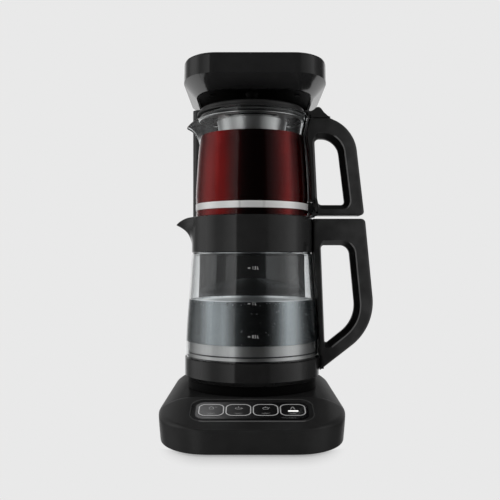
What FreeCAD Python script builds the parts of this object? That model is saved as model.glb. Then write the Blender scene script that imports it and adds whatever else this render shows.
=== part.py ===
import FreeCAD, Part
import math
import os
import re

import Sketcher

# Automatic tea maker.  Millimetres, +Z up.  The model is drawn about the kettle's own axis
# (X = Y = 0), standing on Z = 0, and every piece is then shifted by (shift_x, shift_y) so that the
# origin is the centre of the whole machine's footprint.

V = FreeCAD.Vector
doc = FreeCAD.newDocument("TeaMaker")
sheet = doc.addObject("Spreadsheet::Sheet", "Sizes")

SIZES = [
    # where the kettle's axis stands in the finished frame
    ("shift_x", -19.18, "footprint centre to kettle axis, X"),
    ("shift_y", 5.0, "footprint centre to kettle axis, Y"),
    # base
    ("base_half_width", 96.3, "half the base's width"),
    ("base_front", 138.0, "kettle axis to the front wall"),
    ("base_back", 126.0, "kettle axis to the rear wall"),
    ("base_corner_rx", 58.8, "front corner, across"),
    ("base_corner_ry", 78.0, "front corner, along"),
    ("base_rear_radius", 28.0, "rear corners"),
    ("base_bottom", 1.4, "lower edge above the table"),
    ("base_crease", 24.3, "front crease above the table"),
    ("base_top", 44.0, "flat top above the table"),
    ("base_side", 32.0, "side shoulder above the table"),
    ("base_flat", 62.0, "half the flat width of the top, inside the crowned sides"),
    ("base_wall", 2.8, "shell wall"),
    ("base_slope_end", 73.0, "kettle axis to where the sloped front meets the flat top"),
    ("foot_radius", 9.0, "rubber foot"),
    ("foot_height", 3.0, "rubber foot"),
    ("plate_thick", 2.4, "bottom plate"),
    # panel
    ("panel_angle", 16.87, "slope of the control panel"),
    ("recess_width", 121.0, "panel recess"),
    ("recess_length", 43.0, "panel recess along the slope"),
    ("recess_radius", 13.0, "panel recess corners"),
    ("recess_depth", 1.6, "panel recess"),
    ("fascia_width", 112.0, "glossy strip"),
    ("fascia_length", 33.0, "glossy strip along the slope"),
    ("fascia_thick", 1.2, "glossy strip"),
    ("fascia_radius", 9.0, "glossy strip corners"),
    ("key_width", 25.6, "key top"),
    ("key_length", 23.6, "key top along the slope"),
    ("key_radius", 7.5, "key top corners"),
    ("key_gap", 0.3, "key to fascia, each side"),
    ("key_pitch", 27.0, "key centre to key centre"),
    ("key_thick", 1.65, "key top"),
    ("key_flange", 1.2, "key retaining flange"),
    ("key_flange_width", 25.0, "flange across"),
    ("key_flange_length", 27.0, "flange along"),
    ("key_stem_radius", 3.0, "key stem"),
    ("key_stem_length", 3.2, "key stem"),
    ("key_travel", 1.0, "key travel"),
    # plinth and coupling
    ("plinth_radius", 71.8, "round plinth"),
    ("plinth_height", 9.5, "round plinth"),
    ("plinth_wall", 2.5, "round plinth wall"),
    ("dock_radius", 14.0, "electrical coupling"),
    ("dock_height", 4.0, "coupling above the plinth"),
    ("port_radius", 9.0, "water port"),
    ("port_y", 32.0, "water port behind the coupling"),
    # tower and head
    ("tower_half_width", 74.0, "tower"),
    ("tower_front", 79.0, "tower's front face"),
    ("tower_split", 110.0, "seam between the covers"),
    ("tower_back", 122.0, "tower's rear face"),
    ("tower_radius", 12.0, "tower's front corners"),
    ("tower_wall", 2.5, "tower wall"),
    ("tower_foot", 36.0, "tower's lower end"),
    ("head_under", 372.0, "lower rim of the head"),
    ("head_crease", 381.5, "crease of the head"),
    ("head_seam", 400.4, "seam under the top cover"),
    ("head_top", 403.0, "top of the machine"),
    ("head_half_width", 79.5, "head"),
    ("head_offset", 3.3, "head centre from the tower's, towards the handles"),
    ("head_front", 62.0, "kettle axis to the head's front"),
    ("head_wall", 2.6, "head wall"),
    ("nozzle_radius", 8.0, "hot water outlet"),
    # kettle
    ("ring_radius", 75.5, "kettle base ring"),
    ("ring_bottom", 53.6, "kettle base ring"),
    ("ring_top", 78.0, "kettle base ring"),
    ("glass_foot", 74.4, "lower edge of the kettle's glass"),
    ("glass_low_radius", 74.0, "kettle glass near the foot"),
    ("glass_high_radius", 67.4, "kettle glass under the collar"),
    ("glass_wall", 2.6, "kettle glass"),
    ("collar_radius", 67.8, "collar"),
    ("collar_bottom", 193.6, "collar"),
    ("collar_top", 232.8, "collar"),
    ("collar_mouth", 64.6, "mouth radius of the collar"),
    ("seat_height", 224.8, "seat of the teapot inside the collar"),
    ("seat_radius", 58.0, "inner radius of that seat"),
    ("handle_depth", 30.0, "kettle handle, front to back"),
    ("handle_round", 3.4, "kettle handle edges"),
    # teapot
    ("pot_bottom", 225.2, "teapot glass"),
    ("pot_wall", 2.4, "teapot glass"),
    ("pot_rim", 347.0, "teapot rim"),
    ("band_bottom", 240.2, "steel band"),
    ("band_top", 247.4, "steel band"),
    ("band_radius", 63.3, "steel band"),
    ("pot_handle_depth", 27.0, "teapot handle, front to back"),
    ("pot_handle_round", 3.2, "teapot handle edges"),
    ("infuser_top", 341.6, "infuser rim"),
    ("infuser_bottom", 262.0, "infuser basket"),
    ("infuser_wall", 0.8, "infuser sheet"),
    # lid
    ("lid_radius", 58.2, "lid"),
    ("lid_flange", 61.5, "lid flange"),
    ("lid_low", 347.3, "underside of the flange"),
    ("lid_high", 355.6, "top of the lid"),
    ("lid_inlet", 11.0, "inlet in the lid"),
    ("hinge_x", 84.0, "lid hinge"),
    ("hinge_z", 339.9, "lid hinge"),
    ("hinge_pin_radius", 1.5, "lid hinge pin"),
    ("tab_half_depth", 11.0, "half of the thumb tab, front to back"),
]
for row, (alias, value, note) in enumerate(SIZES, start=1):
    sheet.set("A%d" % row, alias)
    sheet.set("B%d" % row, "%s" % value)
    sheet.setAlias("B%d" % row, alias)
    sheet.set("C%d" % row, note)
doc.recompute()
VALUE = {alias: float(value) for alias, value, note in SIZES}


def s(alias):
    return VALUE[alias]


TOKEN = re.compile(r"([+-]?)([^+-]+)")


def val(expr):
    """The number that a sum of terms such as "ring_top - 3 + glass_wall*2" stands for."""
    if not isinstance(expr, str):
        return float(expr)
    total = 0.0
    for sign, term in TOKEN.findall(expr.replace(" ", "")):
        product = 1.0
        for factor in term.split("*"):
            product *= VALUE[factor] if factor in VALUE else float(factor)
        total += -product if sign == "-" else product
    return total


def bound(expr):
    """The same sum, as an expression on the sheet's cells."""
    if not isinstance(expr, str):
        return None
    return re.sub(r"[A-Za-z_][A-Za-z_0-9]*", lambda m: "Sizes." + m.group(0), expr)


def bind(obj, prop, expr):
    if isinstance(expr, str):
        obj.setExpression(prop, bound(expr))


NODES = []


SPOTS = {}


def settle(obj, label, x="0", y="0", z="0", rotation=None):
    """Names a finished piece and gives it its Placement in the shifted frame."""
    obj.Label = label
    if obj.Name in SPOTS:
        x, y, z = SPOTS[obj.Name]
        rotation = obj.Placement.Rotation
    rot = rotation or FreeCAD.Rotation()
    obj.Placement = FreeCAD.Placement(V(val(x) + s("shift_x"), val(y) + s("shift_y"), val(z)), rot)
    obj.setExpression("Placement.Base.x", "Sizes.shift_x + " + (bound(x) if isinstance(x, str) else repr(x)))
    obj.setExpression("Placement.Base.y", "Sizes.shift_y + " + (bound(y) if isinstance(y, str) else repr(y)))
    NODES.append(obj)
    return obj


# ---------------------------------------------------------------- PartDesign helpers

def new_body(name):
    return doc.addObject("PartDesign::Body", name)


def origin_plane(body, role):
    for feature in body.Origin.OriginFeatures:
        if feature.Role == role:
            return feature
    raise ValueError(role)


def new_sketch(body, role, offset=None):
    sk = body.newObject("Sketcher::SketchObject", "Sketch")
    sk.AttachmentSupport = (origin_plane(body, role), [""])
    sk.MapMode = "FlatFace"
    if offset is not None:
        sk.AttachmentOffset = FreeCAD.Placement(V(0, 0, val(offset)), FreeCAD.Rotation())
        bind(sk, "AttachmentOffset.Base.z", offset)
    return sk


def polygon_on(sk, points):
    """A closed polygon whose corners are each dimensioned from the sketch's origin."""
    n = len(points)
    xy = [(val(a), val(b)) for a, b in points]
    first = sk.GeometryCount
    for i in range(n):
        a, b = xy[i], xy[(i + 1) % n]
        sk.addGeometry(Part.LineSegment(V(a[0], a[1], 0), V(b[0], b[1], 0)), False)
    for i in range(n):
        sk.addConstraint(Sketcher.Constraint("Coincident", first + (i - 1) % n, 2, first + i, 1))
    for i in range(n):
        for kind, expr, number, axis in (("DistanceX", points[i][0], xy[i][0], -2), ("DistanceY", points[i][1], xy[i][1], -1)):
            if abs(number) < 1e-9:
                sk.addConstraint(Sketcher.Constraint("PointOnObject", first + i, 1, axis))
                continue
            c = sk.addConstraint(Sketcher.Constraint(kind, -1, 1, first + i, 1, number))
            if isinstance(expr, str):
                sk.setExpression("Constraints[%d]" % c, bound(expr))


def circle_on(sk, x, y, radius):
    g = sk.addGeometry(Part.Circle(V(val(x), val(y), 0), V(0, 0, 1), val(radius)), False)
    for kind, expr, number, axis in (("DistanceX", x, val(x), -2), ("DistanceY", y, val(y), -1)):
        if abs(number) < 1e-9:
            sk.addConstraint(Sketcher.Constraint("PointOnObject", g, 3, axis))
            continue
        c = sk.addConstraint(Sketcher.Constraint(kind, -1, 1, g, 3, number))
        if isinstance(expr, str):
            sk.setExpression("Constraints[%d]" % c, bound(expr))
    c = sk.addConstraint(Sketcher.Constraint("Radius", g, val(radius)))
    if isinstance(radius, str):
        sk.setExpression("Constraints[%d]" % c, bound(radius))


def rounded(points):
    """Edges of a polygon whose corners (x, y, r) are rounded by arcs of radius r."""
    n = len(points)
    starts, ends, arcs = [], [], []
    for i in range(n):
        p = V(points[i][0], points[i][1], 0)
        a = V(points[i - 1][0], points[i - 1][1], 0) - p
        b = V(points[(i + 1) % n][0], points[(i + 1) % n][1], 0) - p
        a.normalize()
        b.normalize()
        r = points[i][2]
        if r <= 0:
            starts.append(p)
            ends.append(p)
            arcs.append(None)
            continue
        half = math.acos(max(-1, min(1, a.dot(b)))) / 2
        t = r / math.tan(half)
        middle = (a + b).normalize()
        starts.append(p + a * t)
        ends.append(p + b * t)
        arcs.append(p + middle * (r / math.sin(half) - r))
    out = []
    for i in range(n):
        if arcs[i] is not None:
            out.append(Part.Arc(starts[i], arcs[i], ends[i]))
        nxt = (i + 1) % n
        if (ends[i] - starts[nxt]).Length > 1e-6:
            out.append(Part.LineSegment(ends[i], starts[nxt]))
    return out


def outline_on(sk, curves):
    """Puts a closed outline of lines and arcs on a sketch and blocks it there."""
    for curve in curves:
        g = sk.addGeometry(curve, False)
        sk.addConstraint(Sketcher.Constraint("Block", g))


def rounded_rect(cx, cy, w, l, r):
    return rounded([(cx - w / 2, cy - l / 2, r), (cx + w / 2, cy - l / 2, r), (cx + w / 2, cy + l / 2, r), (cx - w / 2, cy + l / 2, r)])


def revolve(body, points):
    sk = new_sketch(body, "XZ_Plane")
    polygon_on(sk, points)
    feature = body.newObject("PartDesign::Revolution", "Revolution")
    feature.Profile = (sk, [""])
    feature.ReferenceAxis = (sk, ["V_Axis"])
    feature.Angle = 360
    body.Tip = feature
    return feature


def groove(body, points):
    sk = new_sketch(body, "XZ_Plane")
    polygon_on(sk, points)
    feature = body.newObject("PartDesign::Groove", "Groove")
    feature.Profile = (sk, [""])
    feature.ReferenceAxis = (sk, ["V_Axis"])
    feature.Angle = 360
    body.Tip = feature
    return feature


def pad(body, sk, length, reverse=False, both=False):
    feature = body.newObject("PartDesign::Pad", "Pad")
    feature.Profile = (sk, [""])
    feature.Length = val(length)
    bind(feature, "Length", length)
    feature.Reversed = reverse
    if both:
        feature.SideType = "Symmetric"
    body.Tip = feature
    return feature


def pocket(body, sk, length, reverse=False, both=False):
    feature = body.newObject("PartDesign::Pocket", "Pocket")
    feature.Profile = (sk, [""])
    feature.Length = val(length)
    bind(feature, "Length", length)
    feature.Reversed = reverse
    if both:
        feature.SideType = "Symmetric"
    body.Tip = feature
    return feature


def fillet_edges(body, base, keep, radius):
    doc.recompute()
    names = ["Edge%d" % (i + 1) for i, e in enumerate(base.Shape.Edges) if keep(e)]
    feature = body.newObject("PartDesign::Fillet", "Fillet")
    feature.Base = (base, names)
    feature.Radius = val(radius)
    bind(feature, "Radius", radius)
    body.Tip = feature
    return feature


def ring(label, points, **where):
    """A turned piece: closed profile of (radius, height)."""
    body = new_body(label)
    revolve(body, points)
    return settle(body, label, **where)


# ---------------------------------------------------------------- Part helpers

def cylinder(x, y, z, radius, height, axis="Z"):
    obj = doc.addObject("Part::Cylinder", "Cylinder")
    obj.Radius = val(radius)
    obj.Height = val(height)
    bind(obj, "Radius", radius)
    bind(obj, "Height", height)
    rot = {"Z": FreeCAD.Rotation(), "X": FreeCAD.Rotation(V(0, 1, 0), 90), "Y": FreeCAD.Rotation(V(1, 0, 0), -90)}[axis]
    obj.Placement = FreeCAD.Placement(V(val(x), val(y), val(z)), rot)
    for name, expr in (("x", x), ("y", y), ("z", z)):
        bind(obj, "Placement.Base." + name, expr)
    SPOTS[obj.Name] = (x, y, z)
    return obj


def box(x, y, z, dx, dy, dz):
    obj = doc.addObject("Part::Box", "Box")
    obj.Length, obj.Width, obj.Height = val(dx), val(dy), val(dz)
    bind(obj, "Length", dx)
    bind(obj, "Width", dy)
    bind(obj, "Height", dz)
    obj.Placement = FreeCAD.Placement(V(val(x), val(y), val(z)), FreeCAD.Rotation())
    for name, expr in (("x", x), ("y", y), ("z", z)):
        bind(obj, "Placement.Base." + name, expr)
    SPOTS[obj.Name] = (x, y, z)
    return obj


def fuse(parts):
    if len(parts) == 1:
        return parts[0]
    obj = doc.addObject("Part::MultiFuse", "Fusion")
    obj.Shapes = parts
    return obj


def cut(base, tools):
    obj = doc.addObject("Part::Cut", "Cut")
    obj.Base = base
    obj.Tool = fuse(tools)
    return obj


def shaped(label, shape, **where):
    """A piece whose form is worked out here, because neither sketches nor primitives fit it."""
    obj = doc.addObject("Part::Feature", label)
    obj.Shape = shape
    return settle(obj, label, **where)


def prism(curves, z0, z1):
    wire = Part.Wire(Part.__sortEdges__([c.toShape() for c in curves]))
    face = Part.Face(wire)
    face.translate(V(0, 0, z0))
    return face.extrude(V(0, 0, z1 - z0))


def side_prism(points, x0, x1):
    """Polygon of (y, z) run along X."""
    pts = [V(x0, y, z) for y, z in points]
    return Part.Face(Part.makePolygon(pts + [pts[0]])).extrude(V(x1 - x0, 0, 0))


def front_prism(points, y0, y1):
    """Polygon of (x, z) run along Y."""
    pts = [V(x, y0, z) for x, z in points]
    return Part.Face(Part.makePolygon(pts + [pts[0]])).extrude(V(0, y1 - y0, 0))


def corner_curve(cx, cy, rx, ry, n, sx, sy, count=9):
    """A quarter of a squarish oval about (cx, cy), from its side towards its end."""
    pts = []
    for k in range(count):
        t = math.pi / 2 * k / (count - 1)
        pts.append(V(cx + sx * rx * math.cos(t) ** (2 / n), cy + sy * ry * math.sin(t) ** (2 / n), 0))
    pts[0] = V(cx + sx * rx, cy, 0)
    pts[-1] = V(cx, cy + sy * ry, 0)
    spline = Part.BSplineCurve()
    spline.interpolate(Points=pts, InitialTangent=V(0, sy, 0), FinalTangent=V(-sx, 0, 0))
    return spline


def base_plan(inset):
    """The base's outline seen from above, drawn in by inset."""
    w, f, b = s("base_half_width") - inset, s("base_front") - inset, s("base_back") - inset
    rx, ry, rr = s("base_corner_rx") - inset, s("base_corner_ry") - inset, s("base_rear_radius") - inset
    cx, cy = w - rx, -(f - ry)
    right = corner_curve(cx, cy, rx, ry, 2.25, 1, -1)
    left = corner_curve(-cx, cy, rx, ry, 2.25, -1, -1)
    d = rr * (1 - math.sqrt(0.5))
    return [
        Part.LineSegment(V(-cx, -f, 0), V(cx, -f, 0)),
        right,
        Part.LineSegment(V(w, cy, 0), V(w, b - rr, 0)),
        Part.Arc(V(w, b - rr, 0), V(w - d, b - d, 0), V(w - rr, b, 0)),
        Part.LineSegment(V(w - rr, b, 0), V(-w + rr, b, 0)),
        Part.Arc(V(-w + rr, b, 0), V(-w + d, b - d, 0), V(-w, b - rr, 0)),
        Part.LineSegment(V(-w, b - rr, 0), V(-w, cy, 0)),
        left,
    ]


def base_solid(inset, drop, z0):
    """The base's outer form, or with inset and drop its hollow."""
    f, top = s("base_front"), s("base_top") - drop
    w = s("base_half_width")
    e = s("base_slope_end")
    solid = prism(base_plan(inset), z0, 60)
    fall = (s("base_top") - s("base_crease")) / (f - e)
    # the sides of the top fall away in a parabola, which the sloped front carries on
    flat = s("base_flat")
    reach = 1.28 * (w - flat)
    sunk = (s("base_top") - s("base_side")) * 1.28 ** 2

    def side_curve(sign):
        curve = Part.BezierCurve()
        curve.setPoles([V(sign * flat, -e, top), V(sign * (flat + reach / 2), -e, top), V(sign * (flat + reach), -e, top - sunk)])
        return curve.toShape()

    low = -40
    end = flat + reach
    edges = [Part.makeLine(V(-flat, -e, top), V(flat, -e, top)), side_curve(1), Part.makeLine(V(end, -e, top - sunk), V(end, -e, low)), Part.makeLine(V(end, -e, low), V(-end, -e, low)),
             Part.makeLine(V(-end, -e, low), V(-end, -e, top - sunk)), side_curve(-1)]
    face = Part.Face(Part.Wire(Part.__sortEdges__(edges)))
    rear = face.extrude(V(0, 240, 0))
    front = face.extrude(V(0, -90, -90 * fall))
    return solid.common(rear).fuse(solid.common(front)).removeSplitter()


# ---------------------------------------------------------------- base

BOSSES = [(-80, -70), (80, -70), (-80, 84), (80, 84)]
PANEL_Y = -(s("base_front") + s("base_slope_end")) / 2 + 6.5
PANEL_Z = s("base_crease") + (PANEL_Y + s("base_front")) * (s("base_top") - s("base_crease")) / (s("base_front") - s("base_slope_end"))
TILT = FreeCAD.Rotation(V(1, 0, 0), math.degrees(math.atan2(s("base_top") - s("base_crease"), s("base_front") - s("base_slope_end"))))
PANEL = FreeCAD.Placement(V(0, PANEL_Y, PANEL_Z), TILT)


def on_panel(curves, w0, w1):
    """A prism standing on the sloped panel, between heights w0 and w1 over it."""
    solid = prism(curves, w0, w1)
    solid.Placement = PANEL.multiply(solid.Placement)
    return solid


def tower_plan(inset, front_inset=None):
    w, f, b, r = s("tower_half_width") - inset, s("tower_front") + (inset if front_inset is None else front_inset), s("tower_back") - inset, s("tower_radius")
    return rounded([(-w, f, max(r - inset, 1)), (w, f, max(r - inset, 1)), (w, b, max(6 - inset, 1)), (-w, b, max(6 - inset, 1))])


outer = base_solid(0, 0, s("base_bottom"))
outer = outer.makeChamfer(2.0, [e for e in outer.Edges if e.BoundBox.ZMax < s("base_bottom") + 0.01])
rims = []
for e in outer.Edges:
    bb = e.BoundBox
    if bb.ZMin > s("base_crease") - 1.5 and bb.ZMax < s("base_top") + 0.05 and abs(bb.XMax - bb.XMin) + abs(bb.YMax - bb.YMin) > 10:
        mid = e.valueAt((e.FirstParameter + e.LastParameter) / 2)
        if abs(mid.x) > s("base_half_width") - 1 or mid.y < -s("base_front") + 1 or mid.y > s("base_back") - 1 or (abs(mid.x) > 37 and mid.y < -61) or (abs(mid.x) > 70 and mid.y > 97):
            rims.append(e)
outer = outer.makeFillet(1.5, rims)
hollow = base_solid(s("base_wall"), s("base_wall"), 0)
thick = on_panel(rounded_rect(0, 0, s("recess_width") + 6, s("recess_length") + 6, s("recess_radius")), -s("recess_depth") - 2.4, 0)
shell = outer.cut(hollow).fuse(thick.common(outer))
posts = [Part.makeCylinder(5.0, 60, V(x, y, s("foot_height") + s("plate_thick") + 0.05)) for x, y in BOSSES]
for post in posts:
    shell = shell.fuse(post.common(outer))
for x, y in BOSSES:
    shell = shell.cut(Part.makeCylinder(1.6, 22, V(x, y, 0)))
shell = shell.cut(on_panel(rounded_rect(0, 0, s("recess_width"), s("recess_length"), s("recess_radius")), -s("recess_depth"), 8))
shell = shell.cut(on_panel(rounded_rect(0, 0, 107.0, 28.4, 6.0), -12, 2))
legs = []
for u in (-50.5, 50.5):
    for v in (-16.4, 16.4):
        leg = Part.makeCylinder(2.6, 7.4, V(u, v, -10.3))
        leg.Placement = PANEL.multiply(leg.Placement)
        legs.append(leg)
for leg in legs:
    shell = shell.fuse(leg)
shell = shell.removeSplitter().cut(prism(tower_plan(-0.25), 34, 60)).removeSplitter()
shell = shell.cut(Part.makeCylinder(s("dock_radius") + 5, 20, V(0, 0, 35)))
shell = shell.cut(Part.makeCylinder(s("port_radius") + 2, 20, V(0, s("port_y"), 35)))
shell = shell.cut(Part.makeCylinder(6.1, 20, V(-60, 115, 17), V(0, 1, 0)))
shell = shell.removeSplitter()
base_housing = shaped("base_housing", shell)

plate = prism(base_plan(3.2), s("foot_height"), s("foot_height") + s("plate_thick"))
for x, y in BOSSES:
    plate = plate.cut(Part.makeCylinder(1.8, 10, V(x, y, 0)))
    plate = plate.cut(Part.makeCylinder(3.4, 1.5, V(x, y, s("foot_height"))))
BOARD_POSTS = [(-66, -2), (-16, -2), (-66, 58), (-16, 58)]
for x, y in BOARD_POSTS:
    plate = plate.fuse(Part.makeCylinder(3.2, 7.0, V(x, y, s("foot_height") + s("plate_thick") - 0.2)))
    plate = plate.cut(Part.makeCylinder(1.3, 9, V(x, y, s("foot_height") + 1)))
for x in (38, 66):
    plate = plate.fuse(Part.makeBox(6, 18, 4.6, V(x, 31, s("foot_height") + s("plate_thick") - 0.2)))
shaped("base_bottom_plate", plate.removeSplitter())

feet = fuse([cylinder(x, y, 0, "foot_radius", "foot_height") for x, y in ((-66, -104), (66, -104), (-76, 104), (76, 104))])
settle(feet, "rubber_feet")

settle(fuse([fuse([cylinder(x, y, "foot_height + 0.1", 3.1, 1.3), cylinder(x, y, "foot_height + 1.4", 1.5, 12)]) for x, y in BOSSES]), "base_screws")

# round plinth with the two couplings
top = "base_top + plinth_height"
plinth = new_body("kettle_plinth")
revolve(plinth, [("dock_radius + 0.3", top), ("dock_radius + 0.3", top + " - plinth_wall"), ("plinth_radius - plinth_wall", top + " - plinth_wall"),
                 ("plinth_radius - plinth_wall", "base_top"), ("plinth_radius", "base_top"), ("plinth_radius", top + " - 0.8"), ("plinth_radius - 0.8", top)])
sk = new_sketch(plinth, "XY_Plane", top + " + 1")
circle_on(sk, 0, "port_y", "port_radius + 0.3")
pocket(plinth, sk, 6)
settle(plinth, "kettle_plinth")

up = top + " + dock_height"
ring("dock_connector", [(2.8, up), (2.8, "base_top + 3"), ("dock_radius", "base_top + 3"), ("dock_radius", "base_top + 4.4"), ("dock_radius + 4", "base_top + 4.4"),
                        ("dock_radius + 4", "base_top + 6.8"), ("dock_radius", "base_top + 6.8"), ("dock_radius", up + " - 1"), ("dock_radius - 1", up),
                        (9.4, up), (9.4, up + " - 4"), (7.6, up + " - 4"), (7.6, up)])
pin = cylinder(0, 0, "base_top + 1", 2.6, 13)
hoop = cut(cylinder(0, 0, "base_top + plinth_height + 0.1", 9.2, 3.4), [cylinder(0, 0, "base_top", 7.8, 30)])
settle(fuse([pin, hoop]), "dock_contacts")
ring("dock_water_port", [(3.2, up), (3.2, "base_top - 4"), (6, "base_top - 4"), (6, "base_top + 2"), ("port_radius", "base_top + 2"), ("port_radius", up + " - 1"), ("port_radius - 1", up)], y="port_y")

# ---------------------------------------------------------------- control panel

fascia = new_body("control_fascia")
sk = new_sketch(fascia, "XY_Plane")
outline_on(sk, rounded_rect(0, 0, s("fascia_width"), s("fascia_length"), s("fascia_radius")))
pad(fascia, sk, "fascia_thick")
KEYS = [-1.5, -0.5, 0.5, 1.5]
sk = new_sketch(fascia, "XY_Plane", "fascia_thick + 1")
for k in KEYS:
    outline_on(sk, rounded_rect(k * s("key_pitch"), 0, s("key_width") + 2 * s("key_gap"), s("key_length") + 2 * s("key_gap"), s("key_radius") + s("key_gap")))
pocket(fascia, sk, "fascia_thick + 2")


def panel_point(u, v, w):
    return PANEL.multVec(V(u, v, w))


def settle_on_panel(obj, label, u, v, w):
    p = panel_point(u, v, w)
    return settle(obj, label, x=p.x, y=p.y, z=p.z, rotation=TILT)


settle_on_panel(fascia, "control_fascia", 0, 0, -s("recess_depth"))

for k, name in zip(KEYS, ("key_left", "key_centre_left", "key_centre_right", "key_right")):
    body = new_body(name)
    sk = new_sketch(body, "XY_Plane")
    outline_on(sk, rounded_rect(0, 0, s("key_width"), s("key_length"), s("key_radius")))
    pad(body, sk, "key_thick", reverse=True)
    sk = new_sketch(body, "XY_Plane", "0 - key_thick")
    outline_on(sk, rounded_rect(0, 0, s("key_flange_width"), s("key_flange_length"), s("key_radius")))
    pad(body, sk, "key_flange", reverse=True)
    sk = new_sketch(body, "XY_Plane", "0 - key_thick - key_flange")
    circle_on(sk, 0, 0, "key_stem_radius")
    pad(body, sk, "key_stem_length", reverse=True)
    if name == "key_right":
        sk = new_sketch(body, "XY_Plane", 0.5)
        outline_on(sk, rounded_rect(0.3, -2.2, 10.6, 2.8, 1.2))
        pocket(body, sk, 1.1)
    settle_on_panel(body, name, k * s("key_pitch"), 0, 0.0)

bar = new_body("key_light_bar")
sk = new_sketch(bar, "XY_Plane")
outline_on(sk, rounded_rect(0, 0, 10.4, 2.6, 1.1))
pad(bar, sk, 0.6)
settle_on_panel(bar, "key_light_bar", 1.5 * s("key_pitch") + 0.3, -2.2, -0.6)

board = new_body("key_circuit_board")
sk = new_sketch(board, "XY_Plane")
outline_on(sk, rounded_rect(0, 0, 108, 38, 3))
pad(board, sk, 1.5)
settle_on_panel(board, "key_circuit_board", 0, 0, -11.9)

switches = []
for k in KEYS:
    base = Part.makeBox(6.4, 6.4, 2.6, V(k * s("key_pitch") - 3.2, -3.2, 0))
    stem = Part.makeCylinder(1.6, 0.7, V(k * s("key_pitch"), 0, 2.6))
    switches.append(base.fuse(stem))
obj = doc.addObject("Part::Feature", "key_switches")
obj.Shape = Part.makeCompound(switches)
settle_on_panel(obj, "key_switches", 0, 0, -10.38)

# ---------------------------------------------------------------- inside the base

settle(cut(box(-70, -6, 12.25, 58, 68, 1.6), [cylinder(x, y, 10, 1.5, 6) for x, y in BOARD_POSTS]), "power_board")
settle(fuse([box(-62, 4, 13.9, 19, 16, 15), cylinder(-30, 14, 13.9, 7, 18), box(-60, 32, 13.9, 26, 20, 14)]), "power_parts")
settle(fuse([fuse([cylinder(x, y, 13.9, 2.8, 1.8), cylinder(x, y, 5.6, 1.2, 8.4)]) for x, y in BOARD_POSTS]), "board_screws")

# pump: volute and motor on one axis along Y, the impeller turning inside
PX, PZ = 52.0, 25.0
volute = Part.makeCylinder(15, 14, V(PX, 26, PZ), V(0, 1, 0)).cut(Part.makeCylinder(12.6, 10, V(PX, 28, PZ), V(0, 1, 0)))
volute = volute.fuse(Part.makeCylinder(5, 12, V(PX, 14.2, PZ), V(0, 1, 0)).cut(Part.makeCylinder(3.2, 14, V(PX, 13, PZ), V(0, 1, 0))))
volute = volute.cut(Part.makeCylinder(3.2, 6, V(PX, 24, PZ), V(0, 1, 0))).cut(Part.makeCylinder(1.8, 6, V(PX, 36, PZ), V(0, 1, 0)))
spigot = Part.makeCylinder(5, 12, V(PX + 13.6, 33, PZ), V(1, 0, 0)).cut(Part.makeCylinder(3.2, 16, V(PX + 10, 33, PZ), V(1, 0, 0)))
volute = volute.fuse(spigot).cut(Part.makeCylinder(3.2, 8, V(PX + 9, 33, PZ), V(1, 0, 0)))
shaped("pump_body", volute.removeSplitter())
motor = Part.makeCylinder(13.5, 30, V(PX, 40.1, PZ), V(0, 1, 0)).cut(Part.makeCylinder(1.56, 8, V(PX, 39, PZ), V(0, 1, 0)))
shaped("pump_motor", motor)
wheel = Part.makeCylinder(11.6, 1.6, V(PX, 35.6, PZ), V(0, 1, 0)).fuse(Part.makeCylinder(3.0, 4.8, V(PX, 31, PZ), V(0, 1, 0)))
wheel = wheel.fuse(Part.makeCylinder(1.5, 11, V(PX, 35, PZ), V(0, 1, 0)))
for k in range(6):
    vane = Part.makeBox(9.4, 4.6, 1.2, V(PX + 2.0, 31.2, PZ - 0.6))
    vane.rotate(V(PX, 0, PZ), V(0, 1, 0), 60 * k)
    wheel = wheel.fuse(vane)
shaped("pump_impeller", wheel.removeSplitter())


def run(points, radius):
    """A path of straight runs joined by tangent arcs of the given radius."""
    out, here = [], V(*points[0])
    for i in range(1, len(points) - 1):
        p = V(*points[i])
        a = (V(*points[i - 1]) - p).normalize()
        b = (V(*points[i + 1]) - p).normalize()
        half = a.getAngle(b) / 2
        t = radius / math.tan(half)
        mid = p + (a + b).normalize() * (radius / math.sin(half) - radius)
        out.append(Part.LineSegment(here, p + a * t).toShape())
        out.append(Part.Arc(p + a * t, mid, p + b * t).toShape())
        here = p + b * t
    out.append(Part.LineSegment(here, V(*points[-1])).toShape())
    return Part.Wire(out)


def tube(points, bend, r_out, r_in):
    path = run(points, bend)
    start = V(*points[0])
    heading = (V(*points[1]) - start).normalize()
    solids = []
    for r in (r_out, r_in):
        profile = Part.Wire(Part.makeCircle(r, start, heading))
        pipe = Part.BRepOffsetAPI.MakePipeShell(path)
        pipe.add(profile)
        pipe.setTransitionMode(0)
        pipe.build()
        pipe.makeSolid()
        solids.append(pipe.shape())
    whole = solids[0].cut(solids[1])
    print("tube", round(whole.Volume / (math.pi * (r_out ** 2 - r_in ** 2) * path.Length), 4))
    return whole


shaped("pump_hose", tube([(0, 32, 39.8), (0, 32, 27), (0, 12, 25), (0, -6, 25), (PX, -6, 25), (PX, 14, 25)], 8.0, 4.4, 3.0))
shaped("riser_tube", tube([(PX + 25.8, 33, 25), (88, 33, 25), (88, 58, 25), (46, 100, 25), (46, 100, 388), (46, 10, 388), (9.4, 10, 388)], 9.0, 4.2, 3.0))

ring_in = cut(cylinder(-60, 117.5, 17, 8.4, 3.6, axis="Y"), [cylinder(-60, 115, 17, 3.4, 12, axis="Y")])
ring_through = cut(cylinder(-60, 121, 17, 6.0, 7, axis="Y"), [cylinder(-60, 119, 17, 3.4, 12, axis="Y")])
settle(fuse([ring_in, ring_through]), "mains_inlet")

# ---------------------------------------------------------------- tower

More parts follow.
